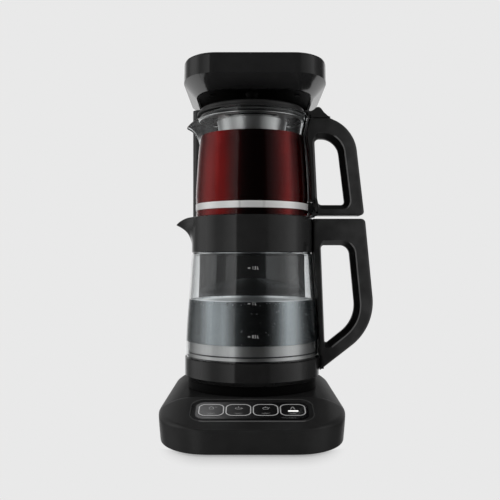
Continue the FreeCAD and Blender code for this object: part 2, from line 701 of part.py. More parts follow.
split = s("tower_split")
whole = prism(tower_plan(0), s("tower_foot"), s("head_under") - 0.1)
inner = prism(tower_plan(s("tower_wall")), s("tower_foot") - 5, s("head_under") + 5)
sleeve = whole.cut(inner)
front_part = sleeve.common(Part.makeBox(200, split - 0.1 + 200, 500, V(-100, -200, 0)))
rear_part = sleeve.common(Part.makeBox(200, 60, 500, V(-100, split + 0.1, 0)))
TOWER_SCREWS = [(-60, 90), (60, 90), (-60, 330), (60, 330)]
for x, z in TOWER_SCREWS:
    front_part = front_part.fuse(Part.makeCylinder(4, split - 0.2 - s("tower_front") - 1, V(x, s("tower_front") + 1, z), V(0, 1, 0)))
    front_part = front_part.cut(Part.makeCylinder(1.55, 16, V(x, split - 15, z), V(0, 1, 0)))
    rear_part = rear_part.fuse(Part.makeCylinder(4.6, s("tower_back") - 1 - split - 0.2, V(x, split + 0.2, z), V(0, 1, 0)))
    rear_part = rear_part.cut(Part.makeCylinder(1.7, 20, V(x, split - 1, z), V(0, 1, 0)))
    rear_part = rear_part.cut(Part.makeCylinder(3.2, 8, V(x, s("tower_back") - 5, z), V(0, 1, 0)))
shaped("tower_front_cover", front_part.removeSplitter())
shaped("tower_rear_cover", rear_part.removeSplitter())
settle(fuse([fuse([cylinder(x, "tower_back - 4.8", z, 2.9, 2.6, axis="Y"), cylinder(x, "tower_split - 10", z, 1.45, 17.4, axis="Y")]) for x, z in TOWER_SCREWS]), "tower_screws")

# ---------------------------------------------------------------- head


def head_plan(half, front, cx, cy, n, z, inset=0.0):
    """Front of the head: flat nose, squarish corners, straight sides to the rear."""
    back = s("tower_back") - inset
    rx, ry = half - cx, front + cy
    right = corner_curve(cx, cy, rx, ry, n, 1, -1)
    left = corner_curve(-cx, cy, rx, ry, n, -1, -1)
    rr = 8.0
    d = rr * (1 - math.sqrt(0.5))
    curves = [
        Part.LineSegment(V(-cx, -front, 0), V(cx, -front, 0)),
        right,
        Part.LineSegment(V(half, cy, 0), V(half, back - rr, 0)),
        Part.Arc(V(half, back - rr, 0), V(half - d, back - d, 0), V(half - rr, back, 0)),
        Part.LineSegment(V(half - rr, back, 0), V(-half + rr, back, 0)),
        Part.Arc(V(-half + rr, back, 0), V(-half + d, back - d, 0), V(-half, back - rr, 0)),
        Part.LineSegment(V(-half, back - rr, 0), V(-half, cy, 0)),
        left,
    ]
    wire = Part.Wire(Part.__sortEdges__([c.toShape() for c in curves]))
    wire.translate(V(s("head_offset"), 0, z))
    return wire


def head_stack(inset, z_low, z_crease, z_high):
    low = head_plan(67.5 - inset, 29.0 - inset, 30.0 - inset * 0.4, 26.0, 2.1, z_low, inset)
    mid = head_plan(s("head_half_width") - inset, s("head_front") - 0.6 - inset, 40.0 - inset * 0.4, 2.0, 2.3, z_crease, inset)
    high = head_plan(s("head_half_width") - 0.4 - inset, s("head_front") - inset, 40.0 - inset * 0.4, 2.0, 2.3, z_high, inset)
    lower = Part.makeLoft([low, mid], True, True)
    upper = Part.makeLoft([mid, high], True, True)
    return lower.fuse(upper).removeSplitter()


shell = head_stack(0, s("head_under"), s("head_crease"), s("head_seam"))
shell = shell.cut(head_stack(s("head_wall"), s("head_under") - 0.01, s("head_crease") + 0.6, s("head_seam") + 0.01))
HEAD_SCREWS = (s("head_offset") - 48, s("head_offset") + 48)
for x in HEAD_SCREWS:
    post = Part.makeCylinder(4.2, 22, V(x, 4, s("head_under") + 3.8))
    shell = shell.fuse(post)
    shell = shell.cut(Part.makeCylinder(1.55, 14, V(x, 4, s("head_under"))))
bridge = Part.makeBox(2 * s("head_half_width") - 4, 9, 2.4, V(s("head_offset") - s("head_half_width") + 2, -0.5, s("head_under") + 23.4))
shell = shell.fuse(bridge).removeSplitter()
shaped("head_housing", shell)

lid_low = head_plan(s("head_half_width") - 0.4, s("head_front"), 40.0, 2.0, 2.3, s("head_seam") + 0.1)
lid_top = head_plan(s("head_half_width") - 2.8, s("head_front") - 2.4, 39.0, 2.0, 2.3, s("head_top"))
lid_mid = head_plan(s("head_half_width") - 0.9, s("head_front") - 0.5, 40.0, 2.0, 2.3, s("head_top") - 1.1)
cap = Part.makeLoft([lid_low, lid_mid], True, True).fuse(Part.makeLoft([lid_mid, lid_top], True, True)).removeSplitter()
shaped("head_top_cover", cap)

under_wire = head_plan(67.5 - s("head_wall") - 0.3, 29.0 - s("head_wall") - 0.3, 29.0, 26.0, 2.1, s("head_under") + 1.2, s("head_wall") + 0.3)
under = Part.Face(under_wire).extrude(V(0, 0, 2.4))
under = under.cut(Part.makeCylinder(s("nozzle_radius") + 3.3, 10, V(0, 0, s("head_under"))))
under = under.cut(Part.makeBox(110, 24, 10, V(-55, 88, s("head_under"))))
for x in HEAD_SCREWS:
    under = under.cut(Part.makeCylinder(1.8, 10, V(x, 4, s("head_under"))))
shaped("head_underside", under)
settle(fuse([fuse([cylinder(x, 4, "head_under - 0.4", 3.2, 1.5), cylinder(x, 4, "head_under + 1.1", 1.45, 11)]) for x in HEAD_SCREWS]), "head_screws")

nozzle = Part.makeCone(s("nozzle_radius") - 2.5, s("nozzle_radius"), 6, V(0, 0, s("head_under") - 3.6)).fuse(Part.makeCylinder(s("nozzle_radius"), 18, V(0, 0, s("head_under") + 2.4)))
nozzle = nozzle.cut(Part.makeCylinder(3, 21, V(0, 0, s("head_under") - 5))).fuse(Part.makeCylinder(5, 9, V(0, 10, 388), V(1, 0, 0)).cut(Part.makeCylinder(3.1, 12, V(-1, 10, 388), V(1, 0, 0))))
nozzle = nozzle.cut(Part.makeCylinder(2.8, 11, V(0, 0, 388), V(0, 1, 0)))
shaped("outlet_nozzle", nozzle.removeSplitter())
ring("nozzle_seal", [("nozzle_radius + 0.1", "head_under + 1.1"), ("nozzle_radius + 3.1", "head_under + 1.1"), ("nozzle_radius + 3.1", "head_under + 3.7"), ("nozzle_radius + 0.1", "head_under + 3.7")])
settle(box(-52, 30, "head_under + 8", 34, 46, 1.6), "wireless_board")

# ---------------------------------------------------------------- kettle

ringbody = new_body("kettle_base_ring")
revolve(ringbody, [(62, "ring_bottom"), ("ring_radius - 4.2", "ring_bottom"), ("ring_radius", "ring_bottom + 4.8"), ("ring_radius", "ring_top - 0.6"), ("ring_radius - 0.5", "ring_top"),
                   ("glass_low_radius + 0.5", "ring_top"), ("glass_low_radius + 0.5", 73.8), (69.5, 73.8), (69.5, 80.5), (66, 80.5), (66, 62.2), (62, 62.2)])
sk = new_sketch(ringbody, "XZ_Plane")
polygon_on(sk, [(-19, 50), (19, 50), (19, 60.4), (-19, 60.4)])
slot = pocket(ringbody, sk, 100)
settle(ringbody, "kettle_base_ring")

glass_points = [("glass_low_radius - 0.6", "glass_foot"), ("glass_low_radius", "glass_foot + 5"), ("glass_low_radius", 95), (73.35, 110), (72.2, 126), (71.1, 142), (70.0, 158), (68.85, 175),
                ("glass_high_radius", 192.6), (65.3, 193.4), (65.2, 214)]
inner_points = [(62.6, 214), (62.6, 195.2), ("glass_high_radius - glass_wall", 192), (66.2, 175), (67.4, 158), (68.5, 142), (69.6, 126), (70.75, 110),
                ("glass_low_radius - glass_wall", 95), ("glass_low_radius - glass_wall", "glass_foot + 5"), ("glass_low_radius - glass_wall", "glass_foot")]
ring("kettle_glass", glass_points + inner_points)

collar = new_body("collar_turned")
revolve(collar, [(65.55, "collar_bottom"), ("collar_radius", "collar_bottom"), ("collar_radius", "collar_top - 0.8"), ("collar_radius - 0.8", "collar_top"), ("collar_mouth", "collar_top"),
                 ("collar_mouth", "seat_height"), ("seat_radius", "seat_height"), ("seat_radius", 218.5), (65.55, 217)])
collar.Label = "collar_turned"
doc.recompute()
beak = front_prism([(-60, 232.6), (-68, 232.6), (-72.6, 232.2), (-76.8, 230.7), (-80.9, 228.2), (-84.3, 225.9), (-85.4, 224.8), (-84.2, 224.0), (-80.5, 222.0), (-76.7, 219.6), (-72.9, 215.8), (-70.1, 211.2), (-68.3, 206.0), (-67.5, 200.5), (-60, 200.0)], -40, 40)
plan = Part.Face(Part.makePolygon([V(-58, -30, 190), V(-66, -22, 190), (-74, -13.2, 190), (-81, -6.4, 190), (-85.6, -2.6, 190), (-85.6, 2.6, 190), (-81, 6.4, 190), (-74, 13.2, 190), (-66, 22, 190), (-58, 30, 190), V(-58, -30, 190)])).extrude(V(0, 0, 50))
beak = beak.common(plan)
channel = front_prism([(-54, 240), (-83.2, 240), (-83.2, 226.2), (-80, 224.4), (-76, 222.0), (-72, 218.4), (-69.2, 214.4), (-67.4, 210.2), (-66.2, 207.4), (-64, 207.4), (-64, 228), (-54, 228)], -30, 30)
plan_in = Part.Face(Part.makePolygon([V(-50, -14, 190), V(-64, -13.5, 190), V(-72, -10.8, 190), V(-80, -4.4, 190), V(-84.2, -1.2, 190), V(-84.2, 1.2, 190), V(-80, 4.4, 190), V(-72, 10.8, 190), V(-64, 13.5, 190), V(-50, 14, 190), V(-50, -14, 190)])).extrude(V(0, 0, 60))
channel = channel.common(plan_in)
band_zone = Part.makeCylinder(s("collar_radius") - 0.6, 60, V(0, 0, 190))
turned = collar.Shape.copy()
turned.Placement = FreeCAD.Placement()
solid = turned.fuse(beak.cut(band_zone)).cut(channel)
slotted = Part.makeBox(30, 20, 9, V(-75, -10, s("seat_height") + 1.0)).common(Part.makeCylinder(s("collar_radius") + 2, 60, V(0, 0, 190)))
solid = solid.cut(slotted)
screw_bore = Part.makeCylinder(1.65, 14, V(56, 0, 221), V(1, 0, 0))
solid = solid.cut(screw_bore)
shaped("kettle_collar", solid.removeSplitter())

ring("collar_seal", [(62.7, 214.1), (65.3, 214.1), (65.3, 216.8), (62.7, 216.8)])
ring("base_seal", [(67, 80.6), (71.25, 80.6), (71.25, 84.6), (70.75, 84.6), (70.75, 82.9), (67, 82.9)])
dish = new_body("heater_plate")
revolve(dish, [(0, 83.0), (70.6, 83.0), (70.6, 95.4), (69.6, 95.4), (69.6, 84.6), (0, 84.6)])
sk = new_sketch(dish, "XY_Plane", 90)
circle_on(sk, 0, "port_y", 3.4)
pocket(dish, sk, 12)
settle(dish, "heater_plate")
loop = Part.makeTorus(45, 4.1, V(0, 0, 78.7))
loop = loop.fuse(Part.makeCylinder(2.2, 12, V(45, -9, 66.6)).fuse(Part.makeCylinder(2.2, 12, V(45, 9, 66.6))))
shaped("heating_element", loop)
settle(box(-11, -35, 66.5, 22, 17, 16.2), "thermostat")
valve = cut(cylinder(0, "port_y", 58.7, 7, 24.1), [cylinder(0, "port_y", 50, 3.2, 50)])
settle(valve, "kettle_valve")
floor = new_body("kettle_underside")
revolve(floor, [(16.3, 62.3), (65.7, 62.3), (65.7, 64.3), (16.3, 64.3)])
sk = new_sketch(floor, "XY_Plane", 70)
circle_on(sk, 0, "port_y", 7.3)
pocket(floor, sk, 12)
settle(floor, "kettle_underside")
ring("kettle_socket", [(9.8, 58.7), (15.6, 58.7), (15.6, 61.9), (16.0, 61.9), (16.0, 70), (0, 70), (0, 67.5), (9.8, 67.5)])

handle = new_body("kettle_handle")
sk = new_sketch(handle, "XZ_Plane")
outline_on(sk, rounded([(60, 231.4, 0), (126.0, 231.4, 5), (137.6, 110.8, 61), (75.3, 62.4, 3), (60, 62.4, 0)]))
outline_on(sk, rounded([(76.6, 202.0, 3.5), (110.1, 202.0, 11), (118.4, 118.2, 38), (80.9, 89.5, 2.2)]))
loop_pad = pad(handle, sk, "handle_depth", both=True)
last = fillet_edges(handle, loop_pad, lambda e: abs(e.BoundBox.YMax - e.BoundBox.YMin) < 1e-4 and e.BoundBox.XMax > 61, "handle_round")
groove(handle, [(0, 50), ("ring_radius + 0.3", 50), ("ring_radius + 0.3", "ring_top + 0.3"), ("glass_low_radius + 0.4", 79), ("glass_low_radius + 0.4", 96), (72.7, 126), (71.6, 142), (70.5, 158), (69.35, 175),
                ("collar_radius + 0.3", 192), ("collar_radius + 0.3", 250), (0, 250)])
sk = new_sketch(handle, "YZ_Plane", 60)
circle_on(sk, 0, 221, 1.55)
pocket(handle, sk, 24, reverse=True)
sk = new_sketch(handle, "YZ_Plane", 81.9)
circle_on(sk, 0, 74.0, 3.4)
pocket(handle, sk, 20, reverse=True)
sk = new_sketch(handle, "YZ_Plane", 70)
circle_on(sk, 0, 74.0, 1.7)
pocket(handle, sk, 20, reverse=True)
settle(handle, "kettle_handle")
settle(fuse([fuse([cylinder(55.4, 0, 221, 3.0, 2.2, axis="X"), cylinder(57.5, 0, 221, 1.45, 24, axis="X")]),
             fuse([cylinder(82.0, 0, 74.0, 3.1, 2, axis="X"), cylinder(76.0, 0, 74.0, 1.5, 6.4, axis="X")])]), "kettle_handle_screws")

# ---------------------------------------------------------------- teapot

pot_out = [(54, "pot_bottom"), (58.6, "pot_bottom + 0.9"), (61.6, "pot_bottom + 3.6"), (62.6, "pot_bottom + 7.6"), (62.6, 248.6), (63.2, 252.5), (62.9, 262), (62.1, 276), (61.1, 292), (59.8, 309), (58.5, 318.5), (58.3, 323),
           (59.3, 330), (61.0, 338), (62.9, "pot_rim")]
pot_in = [(60.5, "pot_rim"), (58.6, 338), (56.9, 330), (55.9, 323), (56.1, 318.5), (57.4, 309), (58.7, 292), (59.7, 276), (60.5, 262), (60.8, 252.5), (60.2, 248.6), (60.3, "pot_bottom + 6.6"), (59.7, "pot_bottom + 3.8"),
          (58.2, "pot_bottom + 2.2"), (54, "pot_bottom + 1.9"), (0, "pot_bottom + 1.9"), (0, "pot_bottom")]
pot = new_body("pot_turned")
revolve(pot, pot_out + pot_in)
pot.Label = "pot_turned"
doc.recompute()
lip_out = front_prism([(-50, 346), (-61.6, 346), (-66, 340.2), (-73.4, 333.6), (-72.6, 332.2), (-68.6, 331.0), (-65, 327), (-61.5, 321), (-50, 321)], -30, 30)
lip_plan = Part.Face(Part.makePolygon([V(-50, -24, 310), V(-58, -19, 310), V(-66, -9.6, 310), V(-71, -4.4, 310), V(-73.6, -1.8, 310), V(-73.6, 1.8, 310), V(-71, 4.4, 310), V(-66, 9.6, 310), V(-58, 19, 310), V(-50, 24, 310), V(-50, -24, 310)])).extrude(V(0, 0, 60))
lip_in = front_prism([(-50, 352), (-74, 352), (-72.2, 333.9), (-68.2, 334.0), (-63.4, 328.8), (-60.0, 323.4), (-50, 323.4)], -30, 30)
lip_plan_in = Part.Face(Part.makePolygon([V(-40, -21, 310), V(-57, -16.8, 310), V(-65, -7.8, 310), V(-70, -2.9, 310), V(-74.4, -0.9, 310), V(-74.4, 0.9, 310), V(-70, 2.9, 310), V(-65, 7.8, 310), V(-57, 16.8, 310), V(-40, 21, 310), V(-40, -21, 310)])).extrude(V(0, 0, 60))
pot_shape = pot.Shape.copy()
pot_shape.Placement = FreeCAD.Placement()
core = Part.Face(Part.makePolygon([V(0, 0, 306), V(57.7, 0, 306), V(57.4, 0, 309), V(56.1, 0, 318.5), V(55.9, 0, 323), V(56.9, 0, 330), V(58.6, 0, 338), V(60.5, 0, 347), V(61.5, 0, 352), V(0, 0, 352), V(0, 0, 306)])).revolve(V(0, 0, 0), V(0, 0, 1), 360)
lip = lip_out.common(lip_plan).cut(core)
lip_hole = lip_in.common(lip_plan_in).cut(Part.makeCylinder(50, 60, V(0, 0, 310)))
pot_shape = pot_shape.fuse(lip).cut(lip_hole)
# the rim dips towards the lip
pot_shape = pot_shape.cut(front_prism([(-24, 347.5), (-26, 346.95), (-40, 343.6), (-50.5, 341.1), (-63.2, 337.9), (-67.5, 336.6), (-70.8, 334.9), (-74.5, 332.9), (-80, 332), (-80, 360), (-24, 360)], -60, 60))
shaped("teapot_glass", pot_shape.removeSplitter())

ring("teapot_band", [("band_radius - 0.5", "band_bottom"), ("band_radius", "band_bottom"), ("band_radius", "band_top"), ("band_radius - 0.5", "band_top")])
clamp = Part.makeBox(8.5, 15, 11.4, V(60.3, -7.5, 238.2)).cut(Part.makeCylinder(s("band_radius") + 0.15, 30, V(0, 0, 230))).cut(Part.makeCylinder(1.6, 20, V(60, 0, 243.8), V(1, 0, 0)))
shaped("band_clamp", clamp)

pot_handle = new_body("teapot_handle")
sk = new_sketch(pot_handle, "XZ_Plane")
outline_on(sk, rounded([(55, 343.8, 0), (87.0, 343.8, 4), (114.3, 331.1, 43), (125.4, 235.3, 4), (55, 235.3, 0)]))
outline_on(sk, rounded([(69.2, 323.3, 5), (96.5, 323.3, 20), (105.6, 246.6, 4), (72.9, 246.6, 5)]))
loop_pad = pad(pot_handle, sk, "pot_handle_depth", both=True)
last = fillet_edges(pot_handle, loop_pad, lambda e: abs(e.BoundBox.YMax - e.BoundBox.YMin) < 1e-4 and e.BoundBox.XMax > 56, "pot_handle_round")
groove(pot_handle, [(0, 228), (65.0, 228), (65.0, 237), (69.6, 237), (69.6, 250.8), (65.6, 252), (64.9, 276), (62.6, 309), (60.4, 322), (60.6, 330), (62.2, 338), (64.4, 349), (0, 349)])
sk = new_sketch(pot_handle, "YZ_Plane", 60)
circle_on(sk, 0, 243.8, 1.55)
pocket(pot_handle, sk, 24, reverse=True)
sk = new_sketch(pot_handle, "XZ_Plane")
polygon_on(sk, [("hinge_x - 5", "hinge_z - 5"), ("hinge_x + 5", "hinge_z - 5"), ("hinge_x + 5", 350), ("hinge_x - 5", 350)])
pocket(pot_handle, sk, 13, both=True)
sk = new_sketch(pot_handle, "XZ_Plane")
circle_on(sk, "hinge_x", "hinge_z", "hinge_pin_radius + 0.06")
pocket(pot_handle, sk, 23, both=True)
settle(pot_handle, "teapot_handle")
settle(fuse([cylinder(63.8, 0, 243.8, 1.45, 18, axis="X")]), "clamp_screw")

basket = Part.Face(Part.makePolygon([V(39.7, 0, 341.5), V(36.4, 0, 322), V(31.2, 0, 263.5), V(29.6, 0, 262), V(0, 0, 262), V(0, 0, 262.8), V(29.2, 0, 262.8), V(30.4, 0, 264), V(35.6, 0, 322), V(38.9, 0, 341.5), V(39.7, 0, 341.5)])).revolve(V(0, 0, 0), V(0, 0, 1), 360)
windows = []
for k in range(12):
    w = Part.makeBox(20, 3.0, 40, V(22, -1.5, 270))
    w.rotate(V(0, 0, 0), V(0, 0, 1), 30 * k)
    windows.append(w)
basket = basket.cut(Part.makeCompound(windows))
shaped("infuser_basket", basket)
top = s("infuser_top")
rim = Part.Face(Part.makePolygon([V(x, 0, z) for x, z in [(39.9, top - 1.2), (57.2, top - 1.2), (58.6, top - 0.2), (58.6, top + 0.6), (56.8, top), (39.9, top), (39.9, top - 1.2)]])).revolve(V(0, 0, 0), V(0, 0, 1), 360)
for k in range(4):
    gap = Part.makeCylinder(55.2, 6, V(0, 0, top - 3), V(0, 0, 1), 66).cut(Part.makeCylinder(42.4, 8, V(0, 0, top - 4)))
    gap.rotate(V(0, 0, 0), V(0, 0, 1), 90 * k - 33)
    rim = rim.cut(gap)
shaped("infuser_rim", rim)

# ---------------------------------------------------------------- lid

ring("teapot_lid", [("lid_inlet", "lid_high"), (40, "lid_high - 0.3"), ("lid_radius - 1.6", "lid_high - 1.0"), ("lid_radius", "lid_high - 2.4"), ("lid_radius", 350.4), ("lid_flange", 349.0), ("lid_flange", "lid_low"),
                    (55.6, "lid_low"), (55.6, 344.2), (53.2, 344.2), (53.2, 349.8), ("lid_inlet + 2.2", 350.6), ("lid_inlet + 2.2", 347.6), ("lid_inlet", 347.6)])
ring("lid_seal", [(55.75, 344.8), (58.0, 345.2), (58.0, 346.0), (55.75, 346.6)])
grid = cut(cylinder(0, 0, 350.4, "lid_inlet - 0.1", 1.4), [cylinder(0, 0, 349, 1.5, 5)] + [cylinder(5.6 * math.cos(math.radians(60 * k)), 5.6 * math.sin(math.radians(60 * k)), 349, 1.5, 5) for k in range(6)])
settle(grid, "lid_inlet_grid")

tab = front_prism([(56, 350.6), (57, 351.4), (64.2, 351.4), (66.4, 351.8), (68.9, 353.2), (71.0, 355.2), (72.6, 356.0), (74.9, 356.1), (76.9, 354.9), (80.0, 350.6), (84.6, 346.4), (87.4, 345.2),
                   (87.4, 344.5), (66, 344.5), (66, 347.5), (62.4, 347.6), (62.2, 349.8)], -s("tab_half_depth"), s("tab_half_depth"))
tab = tab.cut(Part.makeCylinder(s("lid_radius") + 0.1, 30, V(0, 0, 335)))
tab = tab.cut(Part.makeCylinder(s("lid_flange") + 0.1, 5.0, V(0, 0, 345.5)))
knuckle = Part.makeCylinder(4.2, 12.2, V(s("hinge_x"), -6.1, s("hinge_z")), V(0, 1, 0)).fuse(Part.makeBox(5, 12.2, 5.4, V(s("hinge_x") - 2.5, -6.1, s("hinge_z"))))
knuckle = knuckle.cut(Part.makeCylinder(s("hinge_pin_radius") + 0.01, 20, V(s("hinge_x"), -10, s("hinge_z")), V(0, 1, 0)))
shaped("lid_tab", tab.fuse(knuckle).removeSplitter())
settle(cylinder("hinge_x", -11.2, "hinge_z", "hinge_pin_radius", 22.4, axis="Y"), "lid_hinge_pin")

# ---------------------------------------------------------------- write

doc.recompute()
bad = []
for obj in doc.Objects:
    if any(word in str(obj.State) for word in ("Invalid", "Error")):
        bad.append((obj.Name, obj.Label, obj.State))
for obj in NODES:
    shape = obj.Shape
    if shape.isNull() or not shape.isValid() or shape.Volume <= 0:
        bad.append((obj.Label, "shape"))
if bad:
    raise SystemExit("failed: %s" % bad)

os.makedirs("parts", exist_ok=True)
whole_box = FreeCAD.BoundBox()
for obj in NODES:
    whole_box.add(obj.Shape.BoundBox)
    obj.Shape.exportStep(os.path.join("parts", obj.Label + ".step"))
print("pieces", len(NODES), "box", whole_box)
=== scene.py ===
import math
import random

import bmesh
import bpy
import numpy as np
from mathutils import Matrix, Vector


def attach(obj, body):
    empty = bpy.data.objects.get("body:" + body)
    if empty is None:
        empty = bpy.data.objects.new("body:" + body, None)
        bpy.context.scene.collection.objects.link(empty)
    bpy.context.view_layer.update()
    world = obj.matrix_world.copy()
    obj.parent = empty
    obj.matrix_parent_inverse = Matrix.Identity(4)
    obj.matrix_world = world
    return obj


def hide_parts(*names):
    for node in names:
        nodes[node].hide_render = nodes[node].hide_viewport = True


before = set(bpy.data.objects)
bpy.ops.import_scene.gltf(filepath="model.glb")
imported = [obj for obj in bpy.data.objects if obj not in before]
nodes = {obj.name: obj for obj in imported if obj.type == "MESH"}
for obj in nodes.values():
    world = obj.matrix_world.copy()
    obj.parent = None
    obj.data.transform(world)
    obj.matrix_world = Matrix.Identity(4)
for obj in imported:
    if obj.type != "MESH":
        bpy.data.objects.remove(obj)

# Everything below is drawn in millimetres about the kettle's axis, as the construction is, and
# at() carries a point into the row frame in metres.
OX, OY, MM = -19.18, 5.0, 0.001
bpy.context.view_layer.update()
scene = bpy.context.scene
random.seed(7)


def at(x, y, z):
    return Vector(((x + OX) * MM, (y + OY) * MM, z * MM))


# ------------------------------------------------------------------ camera

cam_data = bpy.data.cameras.new("camera")
cam = bpy.data.objects.new("camera", cam_data)
scene.collection.objects.link(cam)
cam.location = at(0, -814, 182)
cam.rotation_euler = (math.radians(90), 0, 0)
cam_data.sensor_width = 36
cam_data.lens = 51.84
cam_data.shift_x = -0.004
cam_data.shift_y = 0.026
cam_data.clip_start = 0.05
cam_data.clip_end = 40
scene.camera = cam

# ------------------------------------------------------------------ light

scene.view_settings.view_transform = "Standard"
scene.view_settings.look = "None"

PAPER = 0.815

world = bpy.data.worlds.new("studio")
scene.world = world
world.use_nodes = True
wn, wl = world.node_tree.nodes, world.node_tree.links
wn.clear()


def wnode(kind, **props):
    n = wn.new(kind)
    for k, v in props.items():
        setattr(n, k, v)
    return n


def wmath(op, a, b=None, clamp=False):
    n = wnode("ShaderNodeMath", operation=op, use_clamp=clamp)
    for i, v in enumerate((a, b)):
        if v is None:
            continue
        if isinstance(v, (int, float)):
            n.inputs[i].default_value = v
        else:
            wl.new(v, n.inputs[i])
    return n.outputs[0]


def wramp(value, stops, top):
    """Brightness along value (0 to 1): stops of (place, brightness), scaled so that top is the ramp's white."""
    n = wnode("ShaderNodeValToRGB")
    n.color_ramp.interpolation = "LINEAR"
    els = n.color_ramp.elements
    while len(els) > 1:
        els.remove(els[-1])
    els[0].position = stops[0][0]
    els[0].color = (stops[0][1] / top,) * 3 + (1,)
    for p, v in stops[1:]:
        e = els.new(p)
        e.color = (v / top,) * 3 + (1,)
    wl.new(value, n.inputs[0])
    return wmath("MULTIPLY", n.outputs[0], top)


def az(deg):
    return (deg + 180) / 360


def el(deg):
    return (math.sin(math.radians(deg)) + 1) / 2


direction = wnode("ShaderNodeTexCoord").outputs["Generated"]
split = wnode("ShaderNodeSeparateXYZ")
wl.new(direction, split.inputs[0])
dx, dy, dz = split.outputs
azimuth = wmath("DIVIDE", wmath("ADD", wmath("ARCTAN2", dx, wmath("MULTIPLY", dy, -1)), math.pi), 2 * math.pi)
height = wmath("DIVIDE", wmath("ADD", dz, 1), 2)

# two tall softboxes, left and right of the camera, with a dark gap between them and dark flags behind them
sides = wramp(azimuth, [(az(-180), 0.0), (az(-150), 0.04), (az(-128), 0.20), (az(-112), 0.56), (az(-94), 0.80), (az(-84), 0.66), (az(-70), 0.32), (az(-58), 0.36), (az(-44), 0.62),
                        (az(-30), 0.86), (az(-28), 0.10), (az(-10), 0.05), (az(4), 0.03), (az(29), 0.03), (az(31), 0.14), (az(46), 0.30), (az(62), 0.50), (az(78), 0.72), (az(88), 0.70),
                        (az(97), 0.30), (az(110), 0.10), (az(128), 0.05), (az(150), 0.02), (az(180), 0.0)], 1.0)
side_height = wramp(height, [(el(-60), 0.2), (el(-25), 0.9), (el(0), 1.0), (el(35), 1.0), (el(60), 0.35), (el(90), 0.12)], 1.0)
# the pale backdrop behind the object, up to a third of the sky
back = wramp(azimuth, [(az(-180), 1.0), (az(-158), 1.0), (az(-146), 0.25), (az(-134), 0.0), (az(134), 0.0), (az(146), 0.25), (az(158), 1.0), (az(180), 1.0)], 1.0)
back_height = wramp(height, [(el(-90), 0.5), (el(-30), 1.0), (el(16), 1.0), (el(30), 0.2), (el(45), 0.08), (el(90), 0.08)], 1.0)
shine = wmath("ADD", wmath("MULTIPLY", sides, side_height), wmath("MULTIPLY", wmath("MULTIPLY", back, back_height), PAPER))
env = wnode("ShaderNodeBackground")
wl.new(shine, env.inputs["Strength"])
env.inputs["Color"].default_value = (1.0, 1.0, 1.0, 1)
paper = wnode("ShaderNodeBackground")
paper.inputs["Color"].default_value = (PAPER, PAPER, PAPER, 1)
paper.inputs["Strength"].default_value = 1.0
pick = wnode("ShaderNodeMixShader")
wl.new(wnode("ShaderNodeLightPath").outputs["Is Camera Ray"], pick.inputs[0])
wl.new(env.outputs[0], pick.inputs[1])
wl.new(paper.outputs[0], pick.inputs[2])
wl.new(pick.outputs[0], wnode("ShaderNodeOutputWorld").inputs[0])

# a broad soft light overhead, seen only as light on the surfaces
sky = bpy.data.lights.new("overhead", "AREA")
sky.shape = "RECTANGLE"
sky.size, sky.size_y = 1.6, 1.6
sky.energy = 9.0
sky_o = bpy.data.objects.new("overhead", sky)
scene.collection.objects.link(sky_o)
sky_o.location = at(0, -150, 1500)
sky_o.rotation_euler = (math.radians(-6), 0, 0)
sky_o.visible_camera = False
sky_o.visible_glossy = False
sky_o.visible_transmission = False

# ------------------------------------------------------------------ materials


def shader(name):
    m = bpy.data.materials.new(name)
    m.use_nodes = True
    return m, m.node_tree.nodes, m.node_tree.links, m.node_tree.nodes["Principled BSDF"]


